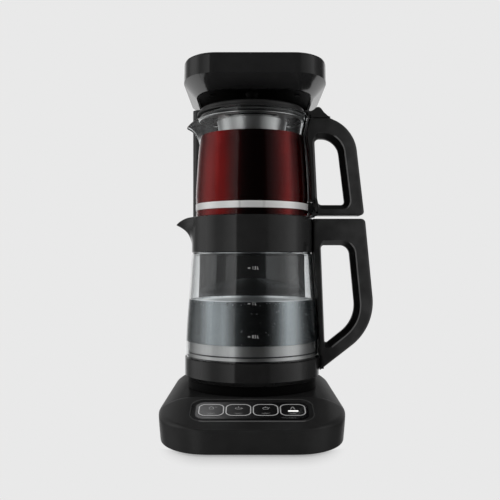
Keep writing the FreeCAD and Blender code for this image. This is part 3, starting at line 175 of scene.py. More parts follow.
def finish_material(name, color, rough, metallic=0.0, specular=0.5, spread=0.05, grain=0.0, grain_scale=2200.0, dust=0.0, waves=0.0, mottle=0.12, coat=0.0, ior=1.46, stretch=(1, 1, 1), wave_scale=18.0):
    """A surface with a mottled colour and roughness, an optional fine grain and an optional scatter of pale specks."""
    m, n, l, b = shader(name)
    b.inputs["Metallic"].default_value = metallic
    b.inputs["Specular IOR Level"].default_value = specular
    b.inputs["IOR"].default_value = ior
    b.inputs["Coat Weight"].default_value = coat
    coord = n.new("ShaderNodeTexCoord")
    mapping = n.new("ShaderNodeMapping")
    mapping.inputs["Scale"].default_value = stretch
    l.new(coord.outputs["Object"], mapping.inputs[0])
    big = n.new("ShaderNodeTexNoise")
    big.inputs["Scale"].default_value = 60
    big.inputs["Detail"].default_value = 5
    l.new(mapping.outputs[0], big.inputs["Vector"])
    tint = n.new("ShaderNodeValToRGB")
    tint.color_ramp.elements[0].position = 0.3
    tint.color_ramp.elements[1].position = 0.7
    tint.color_ramp.elements[0].color = tuple(c * (1 - mottle) for c in color) + (1,)
    tint.color_ramp.elements[1].color = tuple(c * (1 + mottle) for c in color) + (1,)
    l.new(big.outputs["Fac"], tint.inputs[0])
    base = tint.outputs[0]
    if dust:
        fine = n.new("ShaderNodeTexVoronoi")
        fine.inputs["Scale"].default_value = 420
        l.new(coord.outputs["Object"], fine.inputs["Vector"])
        dots = n.new("ShaderNodeValToRGB")
        dots.color_ramp.elements[0].position = 0.045
        dots.color_ramp.elements[0].color = (1, 1, 1, 1)
        dots.color_ramp.elements[1].position = 0.09
        dots.color_ramp.elements[1].color = (0, 0, 0, 1)
        l.new(fine.outputs["Distance"], dots.inputs[0])
        pick = n.new("ShaderNodeMath")
        pick.operation = "GREATER_THAN"
        pick.inputs[1].default_value = 1 - dust
        lone = n.new("ShaderNodeSeparateColor")
        l.new(fine.outputs["Color"], lone.inputs[0])
        l.new(lone.outputs[0], pick.inputs[0])
        both = n.new("ShaderNodeMath")
        both.operation = "MULTIPLY"
        l.new(dots.outputs[0], both.inputs[0])
        l.new(pick.outputs[0], both.inputs[1])
        mix = n.new("ShaderNodeMix")
        mix.data_type = "RGBA"
        l.new(both.outputs[0], mix.inputs["Factor"])
        l.new(base, mix.inputs["A"])
        mix.inputs["B"].default_value = (0.22, 0.22, 0.22, 1)
        base = mix.outputs["Result"]
    l.new(base, b.inputs["Base Color"])
    span = n.new("ShaderNodeMapRange")
    span.inputs["To Min"].default_value = max(0.02, rough - spread)
    span.inputs["To Max"].default_value = rough + spread
    l.new(big.outputs["Fac"], span.inputs["Value"])
    l.new(span.outputs[0], b.inputs["Roughness"])
    normal = None
    if grain:
        small = n.new("ShaderNodeTexNoise")
        small.inputs["Scale"].default_value = grain_scale
        small.inputs["Detail"].default_value = 3
        l.new(mapping.outputs[0], small.inputs["Vector"])
        bump = n.new("ShaderNodeBump")
        bump.inputs["Strength"].default_value = grain
        bump.inputs["Distance"].default_value = 0.0002
        l.new(small.outputs["Fac"], bump.inputs["Height"])
        normal = bump.outputs[0]
    if waves:
        slow = n.new("ShaderNodeTexNoise")
        slow.inputs["Scale"].default_value = wave_scale
        slow.inputs["Detail"].default_value = 2
        l.new(coord.outputs["Object"], slow.inputs["Vector"])
        bump = n.new("ShaderNodeBump")
        bump.inputs["Strength"].default_value = waves
        bump.inputs["Distance"].default_value = 0.002
        l.new(slow.outputs["Fac"], bump.inputs["Height"])
        if normal:
            l.new(normal, bump.inputs["Normal"])
        normal = bump.outputs[0]
    if normal:
        l.new(normal, b.inputs["Normal"])
    return m


BLACK = (0.0185, 0.0185, 0.0188)
gloss_black = finish_material("moulded gloss black", BLACK, 0.14, spread=0.03, grain=0.03, grain_scale=1500, waves=0.02)
collar_black = finish_material("kettle gloss black", (0.0195, 0.0195, 0.0195), 0.08, spread=0.02, grain=0.02, grain_scale=1500)
satin_black = finish_material("moulded satin black", (0.021, 0.021, 0.021), 0.36, spread=0.05, grain=0.12, grain_scale=1800, dust=0.02)
handle_black = finish_material("speckled handle black", (0.043, 0.043, 0.043), 0.36, spread=0.07, grain=0.28, grain_scale=1400, dust=0.08, mottle=0.3)
# The plinth is black plastic, coloured darker still as painted shade for the shadow under the kettle.
plinth_painted_shade = finish_material("dull black", (0.0008, 0.0008, 0.0008), 0.65, specular=0.12, grain=0.1)
under_black = finish_material("matt black", (0.002, 0.002, 0.002), 0.6, specular=0.2, grain=0.15)
panel_black = finish_material("mirror black", (0.003, 0.003, 0.0035), 0.05, spread=0.01, mottle=0.05)
key_black = finish_material("key black", (0.004, 0.004, 0.0045), 0.07, spread=0.015, mottle=0.05)
inner_grey = finish_material("nylon grey", (0.16, 0.16, 0.16), 0.5, grain=0.1)
nylon_white = finish_material("nylon white", (0.72, 0.72, 0.69), 0.45, grain=0.08)
steel_band = finish_material("polished steel band", (0.99, 0.99, 0.98), 0.30, metallic=0.42, spread=0.03, grain=0.06, grain_scale=900, stretch=(0.03, 0.03, 3), mottle=0.03)
steel_dish = finish_material("brushed steel", (0.72, 0.72, 0.71), 0.3, metallic=1.0, spread=0.06, grain=0.12, grain_scale=900, stretch=(0.04, 0.04, 3), mottle=0.05)
heater_steel = finish_material("heater steel", (0.97, 0.97, 0.96), 0.3, metallic=0.8, spread=0.06, grain=0.12, grain_scale=900, stretch=(0.04, 0.04, 3), mottle=0.05)
screw_black = finish_material("blacked steel", (0.006, 0.006, 0.006), 0.45, specular=0.25, grain=0.1)
screw_steel = finish_material("zinc plate", (0.5, 0.5, 0.49), 0.35, metallic=1.0, spread=0.08, mottle=0.12)
element_alu = finish_material("cast aluminium", (0.6, 0.6, 0.61), 0.5, metallic=1.0, grain=0.3, grain_scale=700)
brass = finish_material("plated brass", (0.72, 0.52, 0.22), 0.25, metallic=1.0, spread=0.08)
rubber = finish_material("soft rubber", (0.02, 0.02, 0.02), 0.75, specular=0.3, grain=0.35, grain_scale=1200)
silicone = finish_material("grey silicone", (0.3, 0.3, 0.3), 0.5, grain=0.1)
board_green = finish_material("circuit board", (0.03, 0.17, 0.06), 0.35, mottle=0.35, grain=0.1)
part_blue = finish_material("component blue", (0.06, 0.13, 0.38), 0.4)
motor_grey = finish_material("motor case", (0.42, 0.42, 0.43), 0.35, metallic=0.9)
base_black = finish_material("base satin black", (0.021, 0.021, 0.021), 0.36, spread=0.05, grain=0.12, grain_scale=1800, dust=0.02)


def calm_top(material, table, wall_table, reach=100.0):
    """Lets the faces that look up, and the walls, mirror less of the room, by (millimetres from the middle, specular level)."""
    n, l = material.node_tree.nodes, material.node_tree.links
    b = n["Principled BSDF"]
    coord = n.new("ShaderNodeTexCoord")
    split = n.new("ShaderNodeSeparateXYZ")
    l.new(coord.outputs["Object"], split.inputs[0])
    off = n.new("ShaderNodeMath")
    off.operation = "SUBTRACT"
    off.inputs[1].default_value = OX * MM
    l.new(split.outputs[0], off.inputs[0])
    side = n.new("ShaderNodeMath")
    side.operation = "ABSOLUTE"
    l.new(off.outputs[0], side.inputs[0])
    share = n.new("ShaderNodeMapRange")
    share.inputs["From Max"].default_value = reach * MM
    l.new(side.outputs[0], share.inputs["Value"])
    ramps = []
    for stops in (table, wall_table):
        ramp = n.new("ShaderNodeValToRGB")
        els = ramp.color_ramp.elements
        while len(els) > 1:
            els.remove(els[-1])
        for k, (x, v) in enumerate(stops):
            e = els[0] if k == 0 else els.new(x / reach)
            e.position = x / reach
            e.color = (v, v, v, 1)
        l.new(share.outputs[0], ramp.inputs[0])
        ramps.append(ramp)
    ramp = ramps[0]
    face = n.new("ShaderNodeNewGeometry")
    up = n.new("ShaderNodeSeparateXYZ")
    l.new(face.outputs["Normal"], up.inputs[0])
    level = n.new("ShaderNodeMapRange")
    level.interpolation_type = "SMOOTHSTEP"
    level.inputs["From Min"].default_value = 0.58
    level.inputs["From Max"].default_value = 0.78
    l.new(up.outputs[2], level.inputs["Value"])
    behind = n.new("ShaderNodeMapRange")
    behind.interpolation_type = "SMOOTHSTEP"
    behind.inputs["From Min"].default_value = -0.22
    behind.inputs["From Max"].default_value = -0.06
    l.new(up.outputs[1], behind.inputs["Value"])
    where = n.new("ShaderNodeMath")
    where.operation = "MULTIPLY"
    l.new(level.outputs[0], where.inputs[0])
    l.new(behind.outputs[0], where.inputs[1])
    both = n.new("ShaderNodeMix")
    both.data_type = "FLOAT"
    l.new(where.outputs[0], both.inputs["Factor"])
    upright = n.new("ShaderNodeMapRange")
    upright.interpolation_type = "SMOOTHSTEP"
    upright.inputs["From Min"].default_value = 0.55
    upright.inputs["From Max"].default_value = 0.25
    l.new(up.outputs[2], upright.inputs["Value"])
    wall = n.new("ShaderNodeMix")
    wall.data_type = "FLOAT"
    l.new(upright.outputs[0], wall.inputs["Factor"])
    wall.inputs["A"].default_value = 0.5
    l.new(ramps[1].outputs[0], wall.inputs["B"])
    l.new(wall.outputs["Result"], both.inputs["A"])
    l.new(ramp.outputs[0], both.inputs["B"])
    l.new(both.outputs["Result"], b.inputs["Specular IOR Level"])
    return material


calm_top(base_black, [(0, 0.002), (75, 0.002), (82, 0.006), (88, 0.013), (98, 0.034), (100, 0.036)], [(0, 0.5), (50, 0.5), (62, 0.24), (75, 0.14), (92, 0.16), (100, 0.3)])
# painted reflection: brightness added to the colour of the fascia, the keys and the key outlines, strong on the left
# and fading to nothing on the right
PAINTED_SHEEN = [(-56, 0.20), (-42, 0.19), (-31, 0.12), (-21, 0.072), (-6, 0.034), (10, 0.012), (30, 0.004), (56, 0.002)]


def painted_sheen(material, table, reach=58.0):
    """Paints a reflection into a surface's colour: adds a brightness that fades along X, by (model millimetres,
    brightness), under its own mottling.
    """
    n, l = material.node_tree.nodes, material.node_tree.links
    b = n["Principled BSDF"]
    under = b.inputs["Base Color"].links[0].from_socket
    coord = n.new("ShaderNodeTexCoord")
    split = n.new("ShaderNodeSeparateXYZ")
    l.new(coord.outputs["Object"], split.inputs[0])
    span = n.new("ShaderNodeMapRange")
    span.inputs["From Min"].default_value = (OX - reach) * MM
    span.inputs["From Max"].default_value = (OX + reach) * MM
    l.new(split.outputs[0], span.inputs["Value"])
    ramp = n.new("ShaderNodeValToRGB")
    els = ramp.color_ramp.elements
    while len(els) > 1:
        els.remove(els[-1])
    for k, (x, v) in enumerate(table):
        e = els[0] if k == 0 else els.new((x + reach) / (2 * reach))
        e.position = (x + reach) / (2 * reach)
        e.color = (v, v, v * 1.01, 1)
    l.new(span.outputs[0], ramp.inputs[0])
    both = n.new("ShaderNodeMix")
    both.data_type = "RGBA"
    both.blend_type = "ADD"
    both.inputs["Factor"].default_value = 1.0
    l.new(ramp.outputs[0], both.inputs["A"])
    l.new(under, both.inputs["B"])
    l.new(both.outputs["Result"], b.inputs["Base Color"])
    return material


# painted reflection: the fascia, the keys and the key outlines are painted lighter on the left
painted_sheen(panel_black, PAINTED_SHEEN)
painted_sheen(key_black, PAINTED_SHEEN)
print_grey = painted_sheen(finish_material("printed grey", (0.30, 0.30, 0.30), 0.5, mottle=0.08), [(-56, 0.30), (-30, 0.26), (0, 0.14), (30, 0.05), (56, 0.0)])
print_dim = finish_material("printed dim grey", (0.34, 0.34, 0.34), 0.5, mottle=0.15)
# painted light: the printed outlines and signs glow faintly
for m, v in ((print_grey, 0.15), (print_dim, 0.17)):
    m.node_tree.nodes["Principled BSDF"].inputs["Emission Color"].default_value = (1, 1, 1, 1)
    m.node_tree.nodes["Principled BSDF"].inputs["Emission Strength"].default_value = v
print_white = finish_material("printed white", (0.8, 0.8, 0.8), 0.5, mottle=0.04)

m, n, l, b = shader("lit bar")
b.inputs["Base Color"].default_value = (0.9, 0.9, 0.88, 1)
b.inputs["Emission Color"].default_value = (1.0, 1.0, 0.98, 1)
b.inputs["Emission Strength"].default_value = 0.85
b.inputs["Roughness"].default_value = 0.4
lit = m


def painted_light_bands(material, socket, radius, table):
    """Paints light and shade into a colour: multiplies it by a factor that changes across a round body, by (x / radius,
    factor).
    """
    n, l = material.node_tree.nodes, material.node_tree.links
    under = socket.links[0].from_socket if socket.is_linked else None
    coord = n.new("ShaderNodeTexCoord")
    split = n.new("ShaderNodeSeparateXYZ")
    l.new(coord.outputs["Object"], split.inputs[0])
    off = n.new("ShaderNodeMath")
    off.operation = "SUBTRACT"
    off.inputs[1].default_value = OX * MM
    l.new(split.outputs[0], off.inputs[0])
    share = n.new("ShaderNodeMapRange")
    share.inputs["From Min"].default_value = -radius * MM
    share.inputs["From Max"].default_value = radius * MM
    l.new(off.outputs[0], share.inputs["Value"])
    ramp = n.new("ShaderNodeValToRGB")
    els = ramp.color_ramp.elements
    top = max(v for _, v in table)
    while len(els) > 1:
        els.remove(els[-1])
    for k, (x, v) in enumerate(table):
        e = els[0] if k == 0 else els.new((x + 1) / 2)
        e.position = (x + 1) / 2
        e.color = (v / top,) * 3 + (1,)
    l.new(share.outputs[0], ramp.inputs[0])
    both = n.new("ShaderNodeMix")
    both.data_type = "RGBA"
    both.blend_type = "MULTIPLY"
    both.inputs["Factor"].default_value = 1.0
    l.new(ramp.outputs[0], both.inputs["A"])
    if under:
        l.new(under, both.inputs["B"])
    else:
        both.inputs["B"].default_value = tuple(socket.default_value)
    l.new(both.outputs["Result"], socket)


def glass_material(name, tint, rough=0.0, ior=1.47, shine=0.5):
    m, n, l, b = shader(name)
    b.inputs["Base Color"].default_value = tint + (1,)
    b.inputs["Transmission Weight"].default_value = 1.0
    b.inputs["IOR"].default_value = ior
    b.inputs["Specular IOR Level"].default_value = shine
    coord = n.new("ShaderNodeTexCoord")
    noise = n.new("ShaderNodeTexNoise")
    noise.inputs["Scale"].default_value = 40
    noise.inputs["Detail"].default_value = 4
    l.new(coord.outputs["Object"], noise.inputs["Vector"])
    span = n.new("ShaderNodeMapRange")
    span.inputs["To Min"].default_value = rough
    span.inputs["To Max"].default_value = rough + 0.02
    l.new(noise.outputs["Fac"], span.inputs["Value"])
    l.new(span.outputs[0], b.inputs["Roughness"])
    return m


# painted reflection: bright and dark bands across the heater steel's colour
painted_light_bands(heater_steel, heater_steel.node_tree.nodes["Principled BSDF"].inputs["Base Color"], 70.6, [(-1.0, 0.62), (-0.79, 0.60), (-0.70, 0.70), (-0.61, 1.0), (-0.53, 1.0), (-0.43, 0.98), (-0.345, 0.80), (-0.255, 0.85), (-0.165, 0.85), (0.0, 0.60), (0.165, 0.62), (0.255, 0.80), (0.345, 0.95), (0.53, 1.0), (0.61, 0.85), (0.70, 0.70), (0.79, 0.62), (1.0, 0.60)])

# painted reflection: two thin dark lines across the steel band's colour
painted_light_bands(steel_band, steel_band.node_tree.nodes["Principled BSDF"].inputs["Base Color"], 63.0, [(-1.0, 1.0), (-0.235, 1.0), (-0.205, 0.74), (-0.175, 1.0), (0.165, 1.0), (0.20, 0.84), (0.235, 1.0), (1.0, 1.0)])
clear_glass = glass_material("clear glass", (0.96, 0.975, 0.98))
pot_glass = glass_material("thin clear glass", (0.96, 0.975, 0.98), ior=1.33, shine=0.32)

# ------------------------------------------------------------------ mesh helpers


def build(name, verts, faces, material, body, stands_for=(), sharp=34.0, merge=1e-7):
    """A piece from points in model millimetres, smooth apart from its sharp edges, riding on a body."""
    me = bpy.data.meshes.new(name)
    me.from_pydata([((x + OX) * MM, (y + OY) * MM, z * MM) for x, y, z in verts], [], faces)
    bm = bmesh.new()
    bm.from_mesh(me)
    bmesh.ops.remove_doubles(bm, verts=bm.verts, dist=merge)
    bmesh.ops.recalc_face_normals(bm, faces=bm.faces)
    limit = math.radians(sharp)
    for f in bm.faces:
        f.smooth = True
    for e in bm.edges:
        if len(e.link_faces) == 2 and e.calc_face_angle(0.0) > limit:
            e.smooth = False
    bm.to_mesh(me)
    bm.free()
    me.materials.append(material)
    o = bpy.data.objects.new(name, me)
    scene.collection.objects.link(o)
    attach(o, body)
    if stands_for:
        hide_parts(*stands_for)
    return o


def rings_to_faces(rings, n, closed=False):
    faces = []
    last = len(rings) if closed else len(rings) - 1
    for k in range(last):
        a, b = k * n, ((k + 1) % len(rings)) * n
        for i in range(n):
            j = (i + 1) % n
            faces.append((a + i, a + j, b + j, b + i))
    return faces


def spline(points, steps):
    """A smooth curve through the points (centripetal Catmull-Rom), steps to each span."""
    pts = [np.array(p, float) for p in points]
    pts = [2 * pts[0] - pts[1]] + pts + [2 * pts[-1] - pts[-2]]
    out = []
    for i in range(1, len(pts) - 2):
        p0, p1, p2, p3 = pts[i - 1:i + 3]
        t0 = 0.0
        t1 = t0 + np.linalg.norm(p1 - p0) ** 0.5
        t2 = t1 + np.linalg.norm(p2 - p1) ** 0.5
        t3 = t2 + np.linalg.norm(p3 - p2) ** 0.5
        for k in range(steps):
            t = t1 + (t2 - t1) * k / steps
            a1 = (t1 - t) / (t1 - t0) * p0 + (t - t0) / (t1 - t0) * p1
            a2 = (t2 - t) / (t2 - t1) * p1 + (t - t1) / (t2 - t1) * p2
            a3 = (t3 - t) / (t3 - t2) * p2 + (t - t2) / (t3 - t2) * p3
            b1 = (t2 - t) / (t2 - t0) * a1 + (t - t0) / (t2 - t0) * a2
            b2 = (t3 - t) / (t3 - t1) * a2 + (t - t1) / (t3 - t1) * a3
            out.append((t2 - t) / (t2 - t1) * b1 + (t - t1) / (t2 - t1) * b2)
    out.append(pts[-2])
    return [tuple(p) for p in out]


def turned(name, column, material, body, stands_for=(), n=256, closed=True, sharp=34.0):
    """A turned piece whose profile may change on the way round: column(angle) gives its (radius, height) points."""
    verts, count = [], None
    cols = []
    for i in range(n):
        a = 2 * math.pi * i / n
        cols.append([(r * math.cos(a), r * math.sin(a), z) for r, z in column(a)])
    count = len(cols[0])
    for k in range(count):
        for i in range(n):
            verts.append(cols[i][k])
    faces = rings_to_faces([None] * count, n, closed)
    return build(name, verts, faces, material, body, stands_for, sharp)


def arc(cx, cz, r, a0, a1, steps=5):
    return [(cx + r * math.cos(math.radians(a0 + (a1 - a0) * k / steps)), cz + r * math.sin(math.radians(a0 + (a1 - a0) * k / steps))) for k in range(steps + 1)]


def from_left(a):
    """Degrees between the direction a and the spouts' side, -X."""
    return abs(math.degrees(math.atan2(math.sin(a - math.pi), math.cos(a - math.pi))))


def ease(x, xs, ys):
    """Smooth reading of a table."""
    if x <= xs[0]:
        return ys[0]
    if x >= xs[-1]:
        return ys[-1]
    d = [(ys[i + 1] - ys[i]) / (xs[i + 1] - xs[i]) for i in range(len(xs) - 1)]
    m = [d[0]] + [0.0 if d[i - 1] * d[i] <= 0 else 2 * d[i - 1] * d[i] / (d[i - 1] + d[i]) for i in range(1, len(d))] + [d[-1]]
    for i in range(len(xs) - 1):
        if x <= xs[i + 1]:
            h = xs[i + 1] - xs[i]
            t = (x - xs[i]) / h
            return (2 * t ** 3 - 3 * t ** 2 + 1) * ys[i] + (t ** 3 - 2 * t ** 2 + t) * h * m[i] + (-2 * t ** 3 + 3 * t ** 2) * ys[i + 1] + (t ** 3 - t ** 2) * h * m[i + 1]


# ------------------------------------------------------------------ base shell

HALF, FRONT, BACK, FLAT = 96.3, 138.0, 126.0, 62.0
SLOPE = (44.0 - 24.3) / (138.0 - 73.0)
TILT = math.atan(SLOPE)
PANEL_Y = -99.0
PANEL_Z = 24.3 + (PANEL_Y + 138.0) * SLOPE


def base_height(x, y):
    """A flat top, crowned towards the sides and sloping down to the front."""
    d = -73.0 - y
    ahead = 0.5 * (d + np.sqrt(d * d + 2.2))
    aside = np.maximum(np.abs(x) - FLAT, 0.0) / (HALF - FLAT)
    return 44.0 - SLOPE * ahead - 12.0 * aside ** 2


def outline(count):
    """Evenly spaced points and outward normals of the base's plan, and of nothing else."""
    right = [(x, -FRONT) for x in np.linspace(0, 37.5, 60)]
    for t in np.linspace(math.pi / 2, 0, 400):
        right.append((37.5 + (HALF - 37.5) * math.cos(t) ** (2 / 2.25), -60 - 78 * math.sin(t) ** (2 / 2.25)))
    right += [(HALF, y) for y in np.linspace(-60, BACK - 28, 200)[1:]]
    right += [(HALF - 28 + 28 * math.cos(t), BACK - 28 + 28 * math.sin(t)) for t in np.linspace(0, math.pi / 2, 120)[1:]]
    right += [(x, BACK) for x in np.linspace(HALF - 28, 0, 90)[1:]]
    p = np.array(right + [(-x, y) for x, y in right[::-1][1:-1]])
    q = np.vstack([p, p[:1]])
    run = np.concatenate([[0], np.cumsum(np.linalg.norm(np.diff(q, axis=0), axis=1))])
    s = np.linspace(0, run[-1], count, endpoint=False)
    pts = np.stack([np.interp(s, run, q[:, 0]), np.interp(s, run, q[:, 1])], 1)
    d = np.roll(pts, -1, 0) - np.roll(pts, 1, 0)
    d /= np.linalg.norm(d, axis=1)[:, None]
    return pts, np.stack([d[:, 1], -d[:, 0]], 1)


def in_recess(u, v, half_u=60.5, half_v=21.5, r=13.0):
    qx, qy = np.abs(u) - (half_u - r), np.abs(v) - (half_v - r)
    return np.hypot(np.maximum(qx, 0), np.maximum(qy, 0)) + np.minimum(np.maximum(qx, qy), 0) - r


def panel_xyz(u, v, w):
    return np.stack([u + 0 * w, PANEL_Y + v * math.cos(TILT) - w * math.sin(TILT), PANEL_Z + v * math.sin(TILT) + w * math.cos(TILT)], 1)


N = 1080
P2, NRM = outline(N)


def base_ring(inset, z=None, drop=0.0):
    p = P2 - NRM * inset
    top = base_height(p[:, 0], p[:, 1])
    zz = top - drop if z is None else np.full(N, z)
    return np.column_stack([p, zz])


# the wall leans in a little towards the table; the rim is rounder at the sides than in front
FOOT, HEEL = 1.0, 2.2
TURN = np.clip((np.abs(NRM[:, 0]) - 0.25) / 0.6, 0, 1)
DRAFT = (0.8 + 1.0 * TURN ** 2 * (3 - 2 * TURN))[:, None]
rings = [base_ring(DRAFT + HEEL, 7.0), base_ring(DRAFT + HEEL, FOOT), base_ring(DRAFT + HEEL * 0.8, FOOT)]
for phi in np.radians([-70, -50, -30, -12]):
    rings.append(base_ring(DRAFT + HEEL * (1 - math.cos(phi)), FOOT + HEEL * (1 + math.sin(phi))))
ROUND = 1.5 + 3.0 * TURN ** 2 * (3 - 2 * TURN)
edge = base_ring(0.0)
wall_top = edge[:, 2] - ROUND
for t in np.linspace(0, 1, 10):
    lean = DRAFT * (1 - t) ** 1.25
    r = base_ring(lean)
    r[:, 2] = FOOT + HEEL + (wall_top - FOOT - HEEL) * t
    rings.append(r)
for phi in np.radians([15, 30, 45, 60, 75, 90]):
    rings.append(base_ring((ROUND * (1 - math.cos(phi)))[:, None], None, ROUND * (1 - math.sin(phi))))
shore = rings[-1]
# towards the panel's recess, along straight lines to its centre
au, av = shore[:, 0], (shore[:, 1] - PANEL_Y) / math.cos(TILT)
length = np.hypot(au, av)
du, dv = au / length, av / length


def recess_ring(offset, w):
    low, high = np.zeros(N), length.copy()
    for _ in range(48):
        mid = (low + high) / 2
        inside = in_recess(mid * du, mid * dv) < offset
        low, high = np.where(inside, mid, low), np.where(inside, high, mid)
    return panel_xyz(low * du, low * dv, np.full(N, w))


LIP, DEEP = 0.9, 1.6
first = recess_ring(LIP, 0.0)
for t in (np.linspace(0, 1, 88)[1:]):
    xy = shore[:, :2] + (first[:, :2] - shore[:, :2]) * t
    z = base_height(xy[:, 0], xy[:, 1])
    rings.append(np.column_stack([xy, z]))
for phi in np.radians([18, 36, 54, 72, 90]):
    rings.append(recess_ring(LIP * (1 - math.sin(phi)), -LIP * (1 - math.cos(phi))))
for phi in np.radians([15, 35, 55, 75, 90]):
    rings.append(recess_ring(-0.7 * (1 - math.cos(phi)), -DEEP + 0.7 * (1 - math.sin(phi))))
rings.append(recess_ring(-3.0, -DEEP))
rings.append(recess_ring(-7.0, -DEEP))
rings.append(recess_ring(-7.0, -DEEP - 2.0))
shell = np.vstack(rings)
base_shell = build("base_shell", shell.tolist(), rings_to_faces(rings, N), base_black, "machine", ("base_housing",), sharp=50)

# ------------------------------------------------------------------ kettle glass, water

outer = spline([(73.4, 74.4), (73.85, 78.0), (74.0, 84.0), (74.0, 95.0), (73.35, 110), (72.3, 126), (71.1, 142), (69.95, 158), (68.75, 175), (67.6, 189.5)], 5) + spline([(67.6, 189.5), (67.2, 192.0), (65.9, 193.1), (65.25, 194.6), (65.2, 200)], 4)[1:] + [(65.2, 214)]
inner = [(62.7, 214), (62.6, 199)] + spline([(62.6, 199), (63.0, 196.0), (64.4, 194.0), (65.1, 190.5), (66.15, 175), (67.35, 158), (68.5, 142), (69.7, 126), (70.75, 110), (71.4, 95), (71.4, 84), (71.3, 78), (71.2, 74.4)], 5)[1:]
kettle_glass = turned("kettle_glass_body", lambda a: outer + inner, clear_glass, "kettle", ("kettle_glass",), n=288)


def inner_radius(z):
    pts = [(71.4, 84), (71.4, 95), (70.75, 110), (69.7, 126), (68.5, 142), (67.35, 158), (66.15, 175)]
    return float(np.interp(z, [p[1] for p in pts], [p[0] for p in pts]))


LEVEL = 140.4
m, n, l, b = shader("water")
b.inputs["Base Color"].default_value = (0.78, 0.8625, 0.90, 1)
b.inputs["Metallic"].default_value = 1.0
b.inputs["Roughness"].default_value = 0.23
clear = n.new("ShaderNodeBsdfPrincipled")
# painted reflection: bright bands at the sides and a dark middle in the water's colour
painted_light_bands(m, b.inputs["Base Color"], 70.0, [(-1.0, 0.55), (-0.88, 0.46), (-0.79, 0.36), (-0.70, 0.75), (-0.61, 1.45), (-0.53, 1.5), (-0.43, 1.3), (-0.345, 0.55), (-0.255, 0.20), (-0.165, 0.22), (-0.08, 0.16), (0.0, 0.14), (0.10, 0.13), (0.19, 0.14), (0.27, 0.22), (0.36, 0.47), (0.44, 1.05), (0.53, 1.4), (0.62, 1.1), (0.70, 0.75), (0.79, 0.45), (1.0, 0.5)])
clear.inputs["Base Color"].default_value = (0.86, 0.93, 0.95, 1)
clear.inputs["Transmission Weight"].default_value = 1.0
clear.inputs["Roughness"].default_value = 0.02
clear.inputs["IOR"].default_value = 1.33
coord = n.new("ShaderNodeTexCoord")
cloud = n.new("ShaderNodeTexNoise")
cloud.inputs["Scale"].default_value = 45
cloud.inputs["Detail"].default_value = 6
l.new(coord.outputs["Object"], cloud.inputs["Vector"])
share = n.new("ShaderNodeMapRange")
share.inputs["To Min"].default_value = 0.30
share.inputs["To Max"].default_value = 0.14
l.new(cloud.outputs["Fac"], share.inputs["Value"])
mix = n.new("ShaderNodeMixShader")
l.new(share.outputs[0], mix.inputs[0])
l.new(b.outputs[0], mix.inputs[1])
l.new(clear.outputs[0], mix.inputs[2])
l.new(mix.outputs[0], n["Material Output"].inputs["Surface"])
water_mat = m

gap = -0.3
wall = [(69.4, 84.75), (69.45, 95.6), (71.6, 95.9), (inner_radius(96.4) - gap, 96.4)] + [(inner_radius(z) - gap, z) for z in np.linspace(99, LEVEL - 0.2, 14)]
top = [(inner_radius(LEVEL + 1.2) - gap, LEVEL + 1.2), (inner_radius(LEVEL) - 0.9, LEVEL + 0.35), (inner_radius(LEVEL) - 2.2, LEVEL + 0.05), (inner_radius(LEVEL) - 4, LEVEL), (30, LEVEL), (0.0, LEVEL)]
water = turned("water_body", lambda a: [(0.0, 84.75)] + wall + top, water_mat, "kettle", (), n=224, closed=False)


def balls(name, spots, material, body):
    """Small beads, one mesh: spots of (x, y, z, radius)."""
    bm = bmesh.new()
    for x, y, z, r in spots:
        bmesh.ops.create_icosphere(bm, subdivisions=2, radius=r * MM, matrix=Matrix.Translation(at(x, y, z)))
    me = bpy.data.meshes.new(name)
    for f in bm.faces:
        f.smooth = True
    bm.to_mesh(me)
    bm.free()
    me.materials.append(material)
    o = bpy.data.objects.new(name, me)
    scene.collection.objects.link(o)
    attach(o, body)
    return o


# The water's surface is painted light: its froth pattern glows, with painted reflection bands across it and a stronger
# glow towards the rim, and it is hidden from reflections and diffuse light.
m, n, l, b = shader("water surface")
b.inputs["Base Color"].default_value = (0.5, 0.53, 0.55, 1)
b.inputs["Roughness"].default_value = 0.3
coord = n.new("ShaderNodeTexCoord")
foam = n.new("ShaderNodeTexVoronoi")
foam.inputs["Scale"].default_value = 260
l.new(coord.outputs["Object"], foam.inputs["Vector"])
froth_glow_colour = n.new("ShaderNodeValToRGB")
froth_glow_colour.color_ramp.elements[0].color = (0.62, 0.66, 0.67, 1)
froth_glow_colour.color_ramp.elements[1].color = (0.92, 0.96, 0.97, 1)
froth_glow_colour.color_ramp.elements[1].position = 0.7
l.new(foam.outputs["Distance"], froth_glow_colour.inputs[0])
l.new(froth_glow_colour.outputs[0], b.inputs["Emission Color"])
painted_light_bands(m, b.inputs["Emission Color"], 68.0, [(-1.0, 0.35), (-0.90, 0.45), (-0.78, 0.9), (-0.55, 1.0), (-0.38, 0.85), (-0.27, 0.55), (-0.17, 0.14), (-0.05, 0.05), (0.10, 0.05), (0.2, 0.16), (0.3, 0.55), (0.42, 0.8), (0.58, 0.75), (0.72, 0.5), (0.85, 0.3), (1.0, 0.15)])
spot = n.new("ShaderNodeSeparateXYZ")
l.new(coord.outputs["Object"], spot.inputs[0])
span_xy = []
for k, centre in ((0, OX * MM), (1, OY * MM)):
    shift = n.new("ShaderNodeMath")
    shift.operation = "SUBTRACT"
    shift.inputs[1].default_value = centre
    l.new(spot.outputs[k], shift.inputs[0])
    power = n.new("ShaderNodeMath")
    power.operation = "MULTIPLY"
    l.new(shift.outputs[0], power.inputs[0])
    l.new(shift.outputs[0], power.inputs[1])
    span_xy.append(power.outputs[0])
total = n.new("ShaderNodeMath")
total.operation = "ADD"
l.new(span_xy[0], total.inputs[0])
l.new(span_xy[1], total.inputs[1])
reach_out = n.new("ShaderNodeMath")
reach_out.operation = "SQRT"
l.new(total.outputs[0], reach_out.inputs[0])
glow_share = n.new("ShaderNodeMapRange")
glow_share.interpolation_type = "SMOOTHSTEP"
